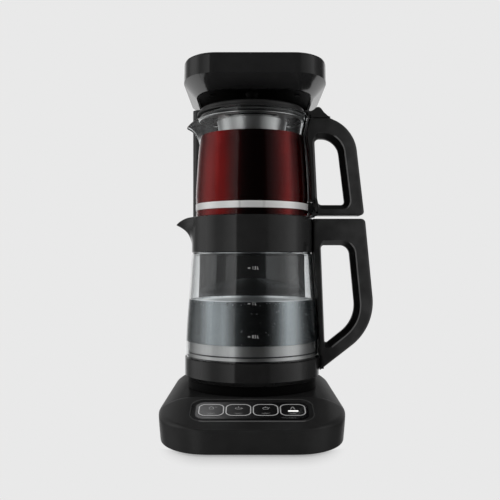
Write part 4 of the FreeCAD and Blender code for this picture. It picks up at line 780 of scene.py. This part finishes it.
glow_share.inputs["From Min"].default_value = 0.036
glow_share.inputs["From Max"].default_value = 0.060
glow_share.inputs["To Min"].default_value = 0.26
glow_share.inputs["To Max"].default_value = 0.66
l.new(reach_out.outputs[0], glow_share.inputs["Value"])
l.new(glow_share.outputs[0], b.inputs["Emission Strength"])
surface_mat = m
rim_r = inner_radius(LEVEL)
water_top = turned("water_surface", lambda a: [(0.0, LEVEL + 0.3), (rim_r - 12, LEVEL + 0.3 + 0.25 * math.sin(11 * math.radians(a)) * math.sin(5 * math.radians(a))), (rim_r - 3.0, LEVEL + 0.35), (rim_r - 1.4, LEVEL + 0.6), (rim_r - 0.4, LEVEL + 1.5), (rim_r - 0.3, LEVEL + 1.6), (rim_r - 0.2, LEVEL + 1.2), (rim_r - 1.0, LEVEL + 0.2), (0.0, LEVEL + 0.1)], surface_mat, "kettle", (), n=224, closed=False)
water_top.visible_glossy = False
water_top.visible_diffuse = False

bubble_mat = finish_material("bubble", (0.86, 0.9, 0.92), 0.2, metallic=0.3, spread=0.05, mottle=0.05)
spots = []
for k in range(420):
    a = random.uniform(0, 2 * math.pi)
    if random.random() < 0.35:
        a = random.choice([-2.35, -1.95, -1.2, -0.75]) + random.gauss(0, 0.12)
    r = random.choice([0.3, 0.4, 0.5, 0.7, 0.95])
    if k % 3:
        rr, z = inner_radius(LEVEL) - r - 0.2 - random.random() * 1.5, LEVEL + 0.45 + r * 0.3
    else:
        rr, z = inner_radius(LEVEL) + 0.3 - r * 0.3, LEVEL - 0.2 - random.random() ** 2 * 3.6
    spots.append((rr * math.cos(a), rr * math.sin(a), z, r * 0.8))
surface_bubbles = balls("surface_bubbles", spots, bubble_mat, "kettle")
spots = []
for k in range(170):
    a, z = random.uniform(-math.pi, math.pi), random.uniform(92, LEVEL - 4)
    r = random.choice([0.2, 0.26, 0.34, 0.45])
    rr = inner_radius(z) + 0.3
    spots.append((rr * math.cos(a), rr * math.sin(a), z, r))
wall_bubbles = balls("wall_bubbles", spots, bubble_mat, "kettle")

# ------------------------------------------------------------------ kettle collar with its spout

SP_A, SP_D = [0, 2, 5, 9.5, 14, 17.5, 20], [17.6, 16.6, 13.2, 8.2, 3.6, 0.9, 0.0]
SP_Z, SP_S = [0.0, 0.25, 0.463, 0.646, 0.75, 0.826, 0.93, 1.0], [0.0, 0.0, 0.085, 0.22, 0.35, 0.489, 0.76, 1.0]


def collar_column(a):
    out = ease(from_left(a), SP_A, SP_D)
    f = out / 17.6
    rim = 232.8 - 7.4 * f ** 2.1
    pts = []
    for t in np.linspace(0, 1, 15):
        pts.append((67.8 + out * ease(t, SP_Z, SP_S), 193.6 + t * (rim - 0.9 - 193.6)))
    pts[0] = (67.8, 194.1)
    top_r = pts[-1][0]
    lip = arc(top_r - 0.9, rim - 0.9, 0.9, 0, 90, 4)[1:]
    back = top_r - 3.2 + 0.6 * f
    inner = [(back + 0.6, rim), (back, rim - 0.6)]
    floor = 224.8 - 17.0 * f
    if f < 1e-6:
        inner += [(64.6, 224.8)] * 7 + [(64.6, 224.8)]
    else:
        for t in np.linspace(0.1, 1, 7):
            z = rim - 0.6 + (floor - rim + 0.6) * t
            tt = min(1, max(0, (z - 193.6) / (rim - 0.9 - 193.6)))
            inner.append((max(64.6, 67.8 + out * ease(tt, SP_Z, SP_S) - 3.2 + 0.6 * f), z))
        inner.append((64.6, floor))
    return [(65.55, 193.6), (67.3, 193.6)] + pts + lip + inner + [(64.6, 224.8), (58.4, 224.8), (58.0, 224.4), (58.0, 218.5), (65.55, 217)]


kettle_collar = turned("kettle_collar_shell", collar_column, collar_black, "kettle", ("kettle_collar",), n=720)

# ------------------------------------------------------------------ handles

HINGE_NOTCH = ((77.6, 91.0), (-6.35, 6.35), (334.6, 360.0))
# painted light: the handles' colour grows lighter towards the right
painted_light_bands(handle_black, handle_black.node_tree.nodes["Principled BSDF"].inputs["Base Color"], 130.0, [(-1.0, 0.8), (0.54, 0.8), (0.65, 0.9), (0.77, 1.2), (0.85, 1.4), (1.0, 1.55)])
# a painted highlight for the fold on the window's right side, and painted shade for the window's walls
fold_painted_highlight = finish_material("window fold painted highlight", (0.15, 0.15, 0.15), 0.3, specular=0.6, grain=0.1, mottle=0.15)
window_painted_shade = finish_material("window wall painted shade", (0.006, 0.006, 0.006), 0.42, specular=0.3, grain=0.1)


def rounded_path(points, step=1.6):
    """Evenly stepped points round a polygon whose corners (x, z, r) are rounded."""
    out = []
    k = len(points)
    for i in range(k):
        p = np.array(points[i][:2], float)
        a = np.array(points[i - 1][:2], float) - p
        b = np.array(points[(i + 1) % k][:2], float) - p
        a /= np.linalg.norm(a)
        b /= np.linalg.norm(b)
        r = points[i][2]
        if r <= 0:
            out.append(p)
            continue
        half = math.acos(max(-1.0, min(1.0, float(a @ b)))) / 2
        t = r / math.tan(half)
        mid = (a + b) / np.linalg.norm(a + b)
        c = p + mid * (r / math.sin(half))
        s0, s1 = p + a * t - c, p + b * t - c
        a0 = math.atan2(s0[1], s0[0])
        turn = math.atan2(s0[0] * s1[1] - s0[1] * s1[0], float(s0 @ s1))
        steps = max(3, int(abs(turn) * r / 1.2), int(abs(turn) / 0.18))
        out += [c + r * np.array([math.cos(a0 + turn * j / steps), math.sin(a0 + turn * j / steps)]) for j in range(steps + 1)]
    full = []
    for i in range(len(out)):
        p, q = out[i], out[(i + 1) % len(out)]
        pieces = max(1, int(np.linalg.norm(q - p) / step))
        full += [p + (q - p) * j / pieces for j in range(pieces)]
    return np.array(full)


def outward(loop):
    d = np.roll(loop, -1, 0) - np.roll(loop, 1, 0)
    d /= np.maximum(np.linalg.norm(d, axis=1)[:, None], 1e-9)
    area = 0.5 * np.sum(loop[:, 0] * np.roll(loop[:, 1], -1) - np.roll(loop[:, 0], -1) * loop[:, 1])
    return np.column_stack([d[:, 1], -d[:, 0]]) * (1 if area > 0 else -1)


def handle_piece(name, body, node, outline_pts, window_pts, half, bend, bevel, near_bevel, notch=None):
    """A grip with rounded edges round a window that narrows towards the middle of its depth; the window's walls carry
    painted shade and the fold on the window's right side a painted highlight.
    """
    rim, window = rounded_path(outline_pts), rounded_path(window_pts)
    rim_n, win_n = outward(rim), outward(window)
    lean = np.clip((-win_n[:, 0] - 0.2) / 0.6, 0, 1)
    share = (bevel + (near_bevel - bevel) * lean * lean * (3 - 2 * lean)) / bevel
    bm = bmesh.new()

    def loop(points, y):
        return [bm.verts.new(at(x, y, z)) for x, z in points]

    def strip(p, q):
        for i in range(len(p)):
            j = (i + 1) % len(p)
            bm.faces.new((p[i], p[j], q[j], q[i]))

    outer_levels = [(bend + 0.5, -half)] + [(bend * (1 - math.cos(t)), -half + bend * (1 - math.sin(t))) for t in np.radians([90, 75, 60, 45, 30, 15, 0])]
    outer_levels += [(inset, -y) for inset, y in outer_levels[::-1]]
    inner_levels = [(bevel + 0.9, -half), (bevel + 0.4, -half), (bevel, -half + 0.1), (bevel - 0.35, -half + 0.4), (bevel - 0.6, -half + 0.9), (0.9, -5.2), (0.45, -4.3), (0.12, -3.4), (0.0, -2.2)]
    inner_levels += [(d, -y) for d, y in inner_levels[::-1]]
    outer_loops = [loop(rim - rim_n * inset, y) for inset, y in outer_levels]
    inner_loops = [loop(window + win_n * (d * share)[:, None], y) for d, y in inner_levels]
    for p, q in zip(outer_loops, outer_loops[1:]):
        strip(p, q)
    for p, q in zip(inner_loops, inner_loops[1:]):
        strip(p, q)
    for end in (0, -1):
        edges = []
        for ring_of in (outer_loops[end], inner_loops[end]):
            for i in range(len(ring_of)):
                e = bm.edges.get((ring_of[i], ring_of[(i + 1) % len(ring_of)]))
                edges.append(e)
        bmesh.ops.triangle_fill(bm, use_beauty=True, use_dissolve=False, edges=edges)
    bmesh.ops.recalc_face_normals(bm, faces=bm.faces)
    me = bpy.data.meshes.new(name)
    bm.to_mesh(me)
    bm.free()
    o = bpy.data.objects.new(name, me)
    scene.collection.objects.link(o)
    if notch:
        (x0, x1), (y0, y1), (z0, z1) = notch
        cm = bmesh.new()
        bmesh.ops.create_cube(cm, size=1.0)
        for v in cm.verts:
            v.co = at(x0 if v.co.x < 0 else x1, y0 if v.co.y < 0 else y1, z0 if v.co.z < 0 else z1)
        cme = bpy.data.meshes.new("cut")
        cm.to_mesh(cme)
        cm.free()
        cutter = bpy.data.objects.new("cut", cme)
        scene.collection.objects.link(cutter)
        mod = o.modifiers.new("notch", "BOOLEAN")
        mod.operation = "DIFFERENCE"
        mod.solver = "EXACT"
        mod.object = cutter
        bpy.context.view_layer.update()
        cut_me = bpy.data.meshes.new_from_object(o.evaluated_get(bpy.context.evaluated_depsgraph_get()))
        o.modifiers.clear()
        o.data = cut_me
        bpy.data.objects.remove(cutter)
    me = o.data
    bm = bmesh.new()
    bm.from_mesh(me)
    for f in bm.faces:
        f.smooth = True
    for e in bm.edges:
        e.smooth = not (len(e.link_faces) == 2 and e.calc_face_angle(0.0) > math.radians(30))
    bm.to_mesh(me)
    bm.free()
    me.materials.clear()
    me.materials.append(handle_black)
    me.materials.append(window_painted_shade)
    me.materials.append(fold_painted_highlight)
    # faces on the window's walls take the painted shade; those at the fold on the window's right side take the painted
    # highlight
    for f in me.polygons:
        c = f.center
        x, z = c.x / MM - OX, c.z / MM
        near = np.argmin(np.hypot(window[:, 0] - x, window[:, 1] - z))
        away = float(np.dot(np.array([x, z]) - window[near], win_n[near]))
        if away < bevel * share[near] - 0.5 and abs(c.y / MM - OY) < half - 0.8:
            f.material_index = 1
        elif away < bevel * share[near] + 0.8 and win_n[near][0] > 0.55:
            f.material_index = 2
    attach(o, body)
    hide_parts(node)
    return o


kettle_grip = handle_piece("kettle_handle_grip", "kettle", "kettle_handle",
                           [(68.1, 231.4, 0), (126.0, 231.4, 5), (137.6, 110.8, 61), (75.8, 62.8, 0), (75.8, 78.3, 0), (74.4, 79.2, 0), (74.4, 96, 0), (72.7, 126, 0), (71.6, 142, 0), (70.5, 158, 0), (69.35, 175, 0), (68.1, 192, 0)],
                           [(77.5, 202.0, 3.5), (108.8, 202.0, 11), (116.8, 118.4, 38), (81.8, 90.4, 2.2)], 15.0, 3.4, 5.4, 2.4)
teapot_grip = handle_piece("teapot_handle_grip", "teapot", "teapot_handle",
                           [(63.8, 343.8, 0), (87.0, 343.8, 4), (114.3, 331.1, 43), (125.4, 235.3, 4), (65.1, 235.3, 0), (65.1, 237.0, 0), (69.7, 237.2, 0), (69.7, 250.8, 0), (65.6, 252.2, 0), (64.9, 276, 0), (62.7, 309, 0), (60.7, 322, 0), (60.9, 330, 0), (62.5, 338, 0)],
                           [(70.2, 321.8, 5), (95.4, 321.8, 20), (104.4, 247.3, 4), (73.8, 247.3, 5)], 13.5, 3.2, 5.8, 3.2, HINGE_NOTCH)

# ------------------------------------------------------------------ teapot glass, tea

low_out = spline([(54, 225.2), (58.4, 225.9), (61.2, 228.4), (62.5, 232.4), (62.6, 240), (62.65, 247), (63.0, 252.5), (62.9, 262), (62.1, 276), (61.1, 292), (59.8, 309)], 5)
REG_Z, REG_R = [309, 317, 323, 330, 338, 346.2], [59.8, 58.7, 58.35, 59.2, 60.9, 62.7]
LIP_S, LIP_R = [0.0, 0.251, 0.46, 0.678, 0.879, 1.0], [0.0, 0.35, 1.95, 4.75, 8.5, 12.9]
POT_WALL = 2.4


def pot_column(a):
    f = ease(from_left(a), [0, 1.5, 4, 10, 16, 24, 34], [1.0, 0.97, 0.84, 0.58, 0.35, 0.12, 0.0])
    g = ease(from_left(a), [0, 4, 10, 16, 24, 35.6, 50.5, 65, 80], [1.0, 0.87, 0.71, 0.58, 0.42, 0.29, 0.15, 0.04, 0.0])
    path = []
    for t in np.linspace(0, 1, 26):
        z = 309 + t * (37.2 - 13.3 * g)
        path.append((ease(z, REG_Z, REG_R) + f * ease(t, LIP_S, LIP_R), z))
    out = low_out[:-1] + path
    p = np.array(out)
    d = np.gradient(p, axis=0)
    d /= np.linalg.norm(d, axis=1)[:, None]
    inn = p + np.column_stack([-d[:, 1], d[:, 0]]) * POT_WALL
    inn = inn[3:]
    inn[:, 0] = np.maximum(inn[:, 0], 0)
    end, cap = p[-1], []
    mid = (p[-1] + inn[-1]) / 2
    for k in range(1, 6):
        t = math.pi * k / 6
        cap.append(tuple(mid + (p[-1] - mid) * math.cos(t) + d[-1] * (POT_WALL / 2) * math.sin(t)))
    return [(0.0, 225.2), (40, 225.2)] + [tuple(q) for q in out] + cap + [tuple(q) for q in inn[::-1]] + [(52, 227.6), (0.0, 227.6)]


teapot_glass = turned("teapot_glass_body", pot_column, pot_glass, "teapot", ("teapot_glass",), n=640, closed=False)

TEA = 322.4
pot_in = [(0, 227.3), (52, 227.3), (56.9, 228.1), (59.4, 230.3), (60.5, 234), (60.6, 247), (60.9, 252.5), (60.8, 262), (60.0, 276), (59.0, 292), (57.7, 309), (56.7, 316.5), (56.4, TEA - 0.4)]
m, n, l, b = shader("tea")
b.inputs["Metallic"].default_value = 1.0
b.inputs["Roughness"].default_value = 0.22
coord = n.new("ShaderNodeTexCoord")
cloud = n.new("ShaderNodeTexNoise")
cloud.inputs["Scale"].default_value = 22
cloud.inputs["Detail"].default_value = 4
l.new(coord.outputs["Object"], cloud.inputs["Vector"])
tone = n.new("ShaderNodeValToRGB")
tone.color_ramp.elements[0].position = 0.35
tone.color_ramp.elements[1].position = 0.7
tone.color_ramp.elements[0].color = (0.24, 0.0025, 0.0025, 1)
tone.color_ramp.elements[1].color = (0.34, 0.005, 0.004, 1)
l.new(cloud.outputs["Fac"], tone.inputs[0])
l.new(tone.outputs[0], b.inputs["Base Color"])
# painted reflection: red bands at the sides and a dark middle in the tea's colour
painted_light_bands(m, b.inputs["Base Color"], 60.0, [(-1.0, 0.95), (-0.80, 0.80), (-0.68, 0.62), (-0.60, 0.95), (-0.50, 0.90), (-0.44, 0.55), (-0.37, 0.24), (-0.27, 0.10), (-0.16, 0.06), (0.0, 0.05), (0.20, 0.06), (0.33, 0.10), (0.45, 0.22), (0.55, 0.40), (0.64, 0.62), (0.72, 0.45), (0.85, 0.6), (1.0, 0.7)])
tea_mat = m
tea = turned("tea_body", lambda a: [pot_in[0]] + spline(pot_in[1:], 4) + [(56.4, TEA + 0.9), (55.4, TEA + 0.3), (54, TEA + 0.05), (50, TEA), (0, TEA)], tea_mat, "teapot", (), n=224, closed=False)

# ------------------------------------------------------------------ printed marks on the kettle's glass


def outside_radius(z):
    pts = [p for p in outer if p[1] < 189.6]
    return float(np.interp(z, [p[1] for p in pts], [p[0] for p in pts]))


def wrap(o, lift=0.12):
    """Lays a flat mesh, drawn in (x, z) millimetres, on the front of the kettle's glass."""
    for v in o.data.vertices:
        x, z = v.co.x, v.co.z
        r = outside_radius(z) + lift
        v.co = at(x, -math.sqrt(r * r - x * x), z)


def label(name, text, x, z, size):
    cu = bpy.data.curves.new(name, "FONT")
    cu.body = text
    cu.size = size
    cu.resolution_u = 4
    cu.align_y = "CENTER"
    t = bpy.data.objects.new(name, cu)
    scene.collection.objects.link(t)
    bpy.context.view_layer.update()
    me = bpy.data.meshes.new_from_object(t)
    bpy.data.objects.remove(t)
    for v in me.vertices:
        v.co = (x + v.co.x, 0, z + 1.35 * v.co.y)
    return me


def dash(me_list, x0, x1, z0, z1):
    me = bpy.data.meshes.new("dash")
    xs = np.linspace(x0, x1, 6)
    verts = [(x, 0, z0) for x in xs] + [(x, 0, z1) for x in xs]
    me.from_pydata(verts, [], [(i, i + 1, i + 7, i + 6) for i in range(5)])
    me_list.append(me)


def join(name, meshes, material, body, place):
    bm = bmesh.new()
    for me in meshes:
        bm.from_mesh(me)
    me = bpy.data.meshes.new(name)
    bm.to_mesh(me)
    bm.free()
    me.materials.clear()
    me.materials.append(material)
    o = bpy.data.objects.new(name, me)
    scene.collection.objects.link(o)
    place(o)
    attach(o, body)
    return o


parts = []
for z, words in ((176.8, "1.5 L"), (139.9, "1 L"), (106.0, "0.5 L")):
    dash(parts, -4.3, -1.7, z - 0.32, z + 0.32)
    parts.append(label("mark", words, 0.1, z, 3.5))
level_marks = join("level_marks", parts, print_white, "kettle", wrap)

# ------------------------------------------------------------------ keys: printed outlines and signs

TC, TS = math.cos(TILT), math.sin(TILT)


def on_key(du_key, lift=0.03):
    def place(o):
        for v in o.data.vertices:
            u, w, q = du_key + v.co.x, v.co.z, lift + v.co.y
            v.co = at(u, PANEL_Y + w * TC - q * TS, PANEL_Z + w * TS + q * TC)
    return place


def round_rect(hw, hh, r, count=12):
    pts = []
    for cx, cy, a0 in ((hw - r, hh - r, 0), (-hw + r, hh - r, 90), (-hw + r, -hh + r, 180), (hw - r, -hh + r, 270)):
        for k in range(count + 1):
            a = math.radians(a0 + 90 * k / count)
            pts.append((cx + r * math.cos(a), cy + r * math.sin(a)))
    return pts


def band(outline_pts, width, closed=True, height=0.03):
    """A thin printed line along a path in (x, z)."""
    p = np.array(outline_pts, float)
    if closed:
        d = np.roll(p, -1, 0) - np.roll(p, 1, 0)
    else:
        d = np.gradient(p, axis=0)
    d /= np.maximum(np.linalg.norm(d, axis=1)[:, None], 1e-9)
    nrm = np.column_stack([d[:, 1], -d[:, 0]])
    a, c = p + nrm * width / 2, p - nrm * width / 2
    verts = [(x, height, z) for x, z in a] + [(x, height, z) for x, z in c]
    k = len(p)
    last = k if closed else k - 1
    me = bpy.data.meshes.new("band")
    me.from_pydata(verts, [], [(i, (i + 1) % k, k + (i + 1) % k, k + i) for i in range(last)])
    return me


def circle(cx, cz, rx, rz, a0=0, a1=360, count=24):
    return [(cx + rx * math.cos(math.radians(a0 + (a1 - a0) * k / count)), cz + rz * math.sin(math.radians(a0 + (a1 - a0) * k / count))) for k in range(count + (0 if a1 - a0 == 360 else 1))]


def arcs(points, width=0.5, closed=False):
    return band(spline(points, 5) if not closed else points, width, closed)


SIGNS = {
    # a drop over a wave, a cup with steam, a small pot, and a flame's outline over the lit bar
    "key_left": [arcs([(-1.9, 2.2), (-2.3, 4.0), (-1.1, 5.6), (0.0, 6.6), (1.1, 5.6), (2.3, 4.0), (1.9, 2.2)]), arcs([(-2.2, 1.9), (-0.8, 1.5), (0.8, 1.9), (2.2, 1.6)]), arcs([(3.6, 5.4), (4.5, 5.6), (5.6, 5.4)], 0.4)],
    "key_centre_left": [arcs([(-3.2, 3.9), (-2.8, 2.4), (-1.6, 1.6), (0.0, 1.4), (1.6, 1.6), (2.8, 2.4), (3.2, 3.9)]), arcs([(-3.3, 4.0), (0, 3.9), (3.3, 4.0)], 0.42), arcs([(3.1, 3.6), (4.2, 3.4), (3.9, 2.6), (2.7, 2.4)], 0.42),
                        arcs([(0.1, 4.8), (-0.3, 5.5), (0.3, 6.1), (0.0, 6.9)], 0.42)],
    "key_centre_right": [arcs([(-2.3, 1.4), (-2.7, 3.0), (-2.0, 4.6), (0.0, 5.0), (2.0, 4.6), (2.7, 3.0), (2.3, 1.4)]), arcs([(-2.4, 1.4), (0, 1.3), (2.4, 1.4)], 0.42), arcs([(2.6, 3.4), (3.6, 4.2), (4.1, 4.9)], 0.42), arcs([(-0.6, 5.6), (0, 6.1), (0.6, 5.6)], 0.42)],
    "key_right": [arcs([(-2.2, 0.6), (-1.4, 3.2), (-0.9, 5.2), (0, 6.2), (0.9, 5.2), (1.4, 3.2), (2.2, 0.6)]), arcs([(-0.9, 4.0), (0, 4.5), (0.9, 4.0)], 0.42)],
}
KEY_BODY = {"key_left": ("key_1", -1.5), "key_centre_left": ("key_2", -0.5), "key_centre_right": ("key_3", 0.5), "key_right": ("key_4", 1.5)}
for name, (body, k) in KEY_BODY.items():
    join(name + "_outline", [band(round_rect(12.2, 11.2, 6.6), 1.12)], print_grey, body, on_key(k * 27.0))
    join(name + "_sign", SIGNS[name] + [band([(-4.2, -6.6), (4.2, -6.6)], 0.22, False), band([(-2.6, -7.8), (2.6, -7.8)], 0.22, False)], print_dim, body, on_key(k * 27.0))

# ------------------------------------------------------------------ painted highlight round the panel's recess

# pale rings lying on the recess lip are a painted highlight, brighter along the front edge
lip_painted_highlight = finish_material("recess lip painted highlight", (0.065, 0.065, 0.065), 0.42, mottle=0.1, grain=0.05)
lip_front_painted_highlight = finish_material("recess lip front painted highlight", (0.19, 0.19, 0.19), 0.42, mottle=0.1, grain=0.05)
highlight_rings = []
for grow_u, grow_v, w in ((0.95, 1.75, 0.02), (0.75, 1.2, 0.2), (0.4, 0.55, 0.22), (0.1, 0.1, -0.15), (0.02, 0.02, -0.6)):
    highlight_rings.append([(x, y, w) for x, y in round_rect(60.5 + grow_u, 21.5 + grow_v, 13.0 + (grow_u + grow_v) / 2, 20)])
k = len(highlight_rings[0])
verts = [(u, PANEL_Y + v * TC - w * TS, PANEL_Z + v * TS + w * TC) for loop in highlight_rings for u, v, w in loop]
faces = [(j * k + i, j * k + (i + 1) % k, (j + 1) * k + (i + 1) % k, (j + 1) * k + i) for j in range(len(highlight_rings) - 1) for i in range(k)]
recess_highlight_band = build("recess_highlight_band", verts, faces, lip_painted_highlight, "machine")
recess_highlight_band.data.materials.append(lip_front_painted_highlight)
# the front stretch takes the brighter painted highlight
for f in recess_highlight_band.data.polygons:
    across, down = f.center.x / MM - OX, (f.center.y / MM - OY - PANEL_Y) / TC
    if down < -20.5 and abs(across) < 52:
        f.material_index = 1

# ------------------------------------------------------------------ bright skirt of the heater plate, below its seal

heater_skirt = turned("heater_skirt", lambda a: [(71.26, 79.9), (71.34, 79.9), (71.37, 80.2), (71.37, 83.0), (71.34, 83.3), (71.26, 83.3)], heater_steel, "kettle", (), n=224)

# ------------------------------------------------------------------ materials of the CAD pieces

LOOK = {
    "base_bottom_plate": satin_black, "rubber_feet": rubber, "base_screws": screw_steel, "kettle_plinth": plinth_painted_shade, "dock_connector": under_black, "dock_contacts": brass, "dock_water_port": silicone,
    "control_fascia": panel_black, "key_circuit_board": board_green, "key_switches": inner_grey, "power_board": board_green, "power_parts": part_blue, "board_screws": screw_steel,
    "pump_body": nylon_white, "pump_motor": motor_grey, "pump_hose": silicone, "riser_tube": silicone, "mains_inlet": inner_grey, "tower_front_cover": gloss_black, "tower_rear_cover": gloss_black,
    "tower_screws": screw_steel, "head_housing": gloss_black, "head_top_cover": gloss_black, "head_underside": under_black, "head_screws": screw_black, "outlet_nozzle": under_black, "nozzle_seal": under_black,
    "wireless_board": board_green, "pump_impeller": nylon_white, "key_left": key_black, "key_centre_left": key_black, "key_centre_right": key_black, "key_right": key_black, "key_light_bar": lit,
    "kettle_base_ring": collar_black, "collar_seal": silicone, "base_seal": rubber, "heater_plate": heater_steel, "heating_element": element_alu, "thermostat": inner_grey, "kettle_valve": nylon_white,
    "kettle_underside": under_black, "kettle_socket": inner_grey, "kettle_handle": handle_black, "kettle_handle_screws": screw_steel, "teapot_band": steel_band, "band_clamp": collar_black,
    "teapot_handle": handle_black, "clamp_screw": screw_steel, "infuser_basket": steel_dish, "infuser_rim": steel_dish, "teapot_lid": satin_black, "lid_seal": silicone, "lid_inlet_grid": inner_grey,
    "lid_tab": handle_black, "lid_hinge_pin": screw_steel,
}
for name, material in LOOK.items():
    o = nodes[name]
    if not o.material_slots:
        o.data.materials.append(material)
    for s in o.material_slots:
        s.material = material

# ------------------------------------------------------------------ the floor

m, n, l, b = shader("pale floor")
n.remove(b)
# the table takes shadows near the object and merges with the backdrop further off
glow = n.new("ShaderNodeEmission")
glow.inputs["Color"].default_value = (1, 1, 1, 1)
glow.inputs["Strength"].default_value = 0.36
soft = n.new("ShaderNodeBsdfDiffuse")
soft.inputs["Color"].default_value = (0.62, 0.62, 0.62, 1)
near = n.new("ShaderNodeAddShader")
l.new(glow.outputs[0], near.inputs[0])
l.new(soft.outputs[0], near.inputs[1])
far = n.new("ShaderNodeEmission")
far.inputs["Color"].default_value = (1, 1, 1, 1)
far.inputs["Strength"].default_value = PAPER
where = n.new("ShaderNodeTexCoord")


def floor_math(op, u, v=None):
    q = n.new("ShaderNodeMath")
    q.operation = op
    for i, w in enumerate((u, v)):
        if isinstance(w, (int, float)):
            q.inputs[i].default_value = w
        elif w is not None:
            l.new(w, q.inputs[i])
    return q.outputs[0]


# distance from a rounded rectangle a little inside the foot's outline
apart = n.new("ShaderNodeSeparateXYZ")
l.new(where.outputs["Object"], apart.inputs[0])
side_x = floor_math("MAXIMUM", floor_math("SUBTRACT", floor_math("ABSOLUTE", floor_math("SUBTRACT", apart.outputs[0], OX * MM)), (HALF - 55) * MM), 0.0)
side_y = floor_math("MAXIMUM", floor_math("SUBTRACT", floor_math("ABSOLUTE", floor_math("SUBTRACT", apart.outputs[1], (OY - 6) * MM)), (132 - 55) * MM), 0.0)
gap_out = floor_math("SUBTRACT", floor_math("SQRT", floor_math("ADD", floor_math("MULTIPLY", floor_math("MULTIPLY", side_x, side_x), 3.2), floor_math("MULTIPLY", side_y, side_y))), 55 * MM)
fade = n.new("ShaderNodeMapRange")
fade.interpolation_type = "SMOOTHSTEP"
fade.inputs["From Min"].default_value = -0.004
fade.inputs["From Max"].default_value = 0.042
l.new(gap_out, fade.inputs["Value"])
ahead_of = n.new("ShaderNodeMapRange")
ahead_of.interpolation_type = "SMOOTHSTEP"
ahead_of.inputs["From Min"].default_value = -0.122
ahead_of.inputs["From Max"].default_value = -0.100
l.new(apart.outputs[1], ahead_of.inputs["Value"])
add = n.new("ShaderNodeMixShader")
l.new(floor_math("MAXIMUM", fade.outputs[0], ahead_of.outputs[0]), add.inputs[0])
l.new(near.outputs[0], add.inputs[1])
l.new(far.outputs[0], add.inputs[2])
l.new(add.outputs[0], n["Material Output"].inputs["Surface"])
bm = bmesh.new()
bmesh.ops.create_circle(bm, cap_ends=True, segments=96, radius=9.0)
me = bpy.data.meshes.new("floor")
bm.to_mesh(me)
bm.free()
me.materials.append(m)
floor = bpy.data.objects.new("floor", me)
scene.collection.objects.link(floor)
floor.location = (0, 0, -0.0002)
floor.visible_glossy = False
floor.visible_transmission = False
